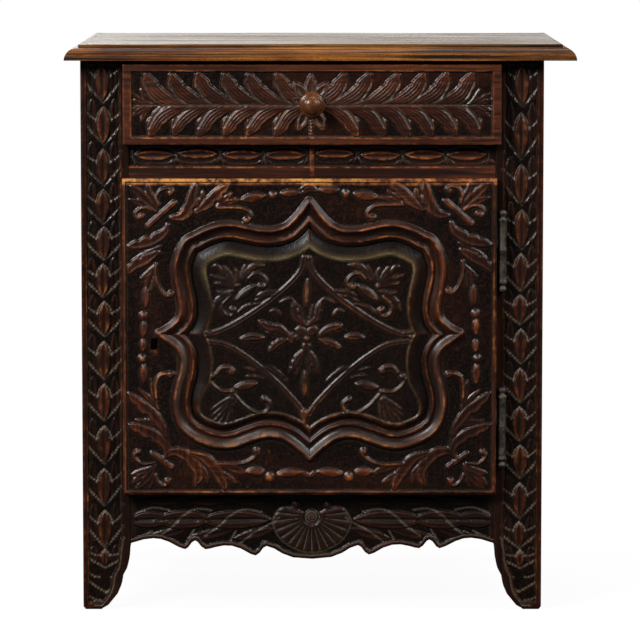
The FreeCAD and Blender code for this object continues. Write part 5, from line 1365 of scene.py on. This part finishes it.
def pegs():
    """Ten riven pegs: a slightly domed head with a broken edge, radius over height."""
    profile = np.array([(3.8, -24), (3.8, -0.3), (3.4, 0.08), (2.6, 0.16), (1.2, 0.2), (0.1, 0.2)])
    joint_levels = (855.0, 693.0, 721.0, 131.7, 167.3)
    sides = 9
    turned = [lathe_points(profile, sides, (side * 297.0, FRONT, level), False) for side in (-1, 1)
              for level in joint_levels]
    faces = [block for k in range(len(turned)) for block in tube(len(profile), sides, k * len(profile) * sides)]
    made("pegs", np.concatenate(turned), faces, "root", peg_finish, ["joint_pegs"], smooth=30)


pegs()


# The room: a pale floor, soft lamps and the camera

def seen_plane(name, corners, grey, glow, mirrored):
    """A plane of grey paint that the camera sees as white by the share glow, and mirrors by the share mirrored.

    Its share of white rises from glow to 1 over its distance from the object, 0.9 to 2.4 m.
    """
    mesh = bpy.data.meshes.new(name)
    mesh.from_pydata(corners, [], [(0, 1, 2, 3)])
    material, tree, shader, place = shade(name)
    shader.inputs["Roughness"].default_value = 0.9
    shader.inputs["Specular IOR Level"].default_value = 0.0
    seen = tree.nodes.new("ShaderNodeLightPath").outputs
    link(tree, blended(tree, seen["Is Camera Ray"], (grey, grey, grey), (0.9, 0.9, 0.9)), shader, "Base Color")
    white = tree.nodes.new("ShaderNodeEmission")
    white.inputs["Color"].default_value = (1, 1, 1, 1)
    white.inputs["Strength"].default_value = 1.0
    away = tree.nodes.new("ShaderNodeVectorMath")
    away.operation = "LENGTH"
    link(tree, place, away, "Vector")
    direct = times(tree, seen["Is Camera Ray"], span(tree, away.outputs["Value"], 0.9, 2.4, glow, 1.0))
    mixed = tree.nodes.new("ShaderNodeMixShader")
    link(tree, times(tree, direct, times(tree, seen["Is Glossy Ray"], mirrored), "ADD"), mixed, "Fac")
    link(tree, shader.outputs["BSDF"], mixed, 1)
    link(tree, white.outputs["Emission"], mixed, 2)
    link(tree, mixed.outputs["Shader"], tree.nodes["Material Output"], "Surface")
    mesh.materials.append(material)
    plane = bpy.data.objects.new(name, mesh)
    bpy.context.scene.collection.objects.link(plane)
    return plane


def room():
    """The floor and a backdrop, a white sky that lights little, and six square lamps.

    Each lamp: its place, the height over the middle of the floor that it aims at, its size and its power.
    """
    reach = 30.0
    floor = seen_plane("floor", [(-reach, -reach, 0), (reach, -reach, 0), (reach, reach, 0), (-reach, reach, 0)],
                       0.04, 0.95, 0.0)
    floor.location = (0, 0, -0.0005)
    seen_plane("backdrop", [(-26, 15, -1), (26, 15, -1), (26, 15, 4.2), (-26, 15, 4.2)], 0.5, 1.0, 1.0)

    world = bpy.data.worlds.new("studio")
    bpy.context.scene.world = world
    world.use_nodes = True
    tree = world.node_tree
    path = tree.nodes.new("ShaderNodeLightPath").outputs
    seen = times(tree, path["Is Camera Ray"], path["Is Transmission Ray"], "MAXIMUM")
    link(tree, span(tree, seen, 0.0, 1.0, 0.045, 1.0), tree.nodes["Background"], "Strength")
    tree.nodes["Background"].inputs["Color"].default_value = (1, 1, 1, 1)

    for name, place, aim, size, power in (
            ("key", (-2.4, -2.9, 2.7), 0.5, 1.4, 190),
            ("fill", (2.6, -2.9, 2.9), 0.5, 1.1, 75),
            ("left", (-3.9, -0.5, 3.0), 0.5, 1.6, 95),
            ("right", (3.9, -0.5, 3.0), 0.5, 1.6, 85),
            ("top", (0.2, 0.4, 4.4), 0.4, 2.4, 55),
            ("behind", (-1.5, 4.2, 3.4), 0.5, 2.2, 130)):
        lamp = bpy.data.lights.new(name, "AREA")
        lamp.energy = power
        lamp.size = size
        holder = bpy.data.objects.new(name, lamp)
        bpy.context.scene.collection.objects.link(holder)
        holder.location = place
        x, y, z = place
        holder.rotation_euler = (math.atan2(math.hypot(x, y), z - aim), 0, math.atan2(x, -y))


def stand_camera():
    """The camera six metres off: level with the photograph's eye for the top, its frame 1005 mm wide at the front.

    Its shift is (wanted height of the frame's middle - the height it looks at) cos(down) / the frame's width.
    """
    lens = bpy.data.cameras.new("camera")
    eye = bpy.data.objects.new("camera", lens)
    bpy.context.scene.collection.objects.link(eye)
    bpy.context.scene.camera = eye
    off, eye_z, down = 6.0, 1.122, math.radians(5.9)
    pixels, pixel = 640, 1.57 / 1000
    case_column, level_row, level = 312.2, 6.6, 0.950
    lens.sensor_width = 36
    lens.lens = 217.4
    lens.clip_end = 60
    eye.location = (MIDDLE / 1000 + (pixels / 2 - case_column) * pixel, FRONT / 1000 - off, eye_z)
    eye.rotation_euler = (math.pi / 2 - down, 0, 0)
    middle = eye_z - off * math.tan(down)
    wanted = level - (pixels / 2 - level_row) * pixel
    lens.shift_y = (wanted - middle) * math.cos(down) / (pixels * pixel)


room()
stand_camera()
bpy.context.scene.view_settings.view_transform = "Standard"
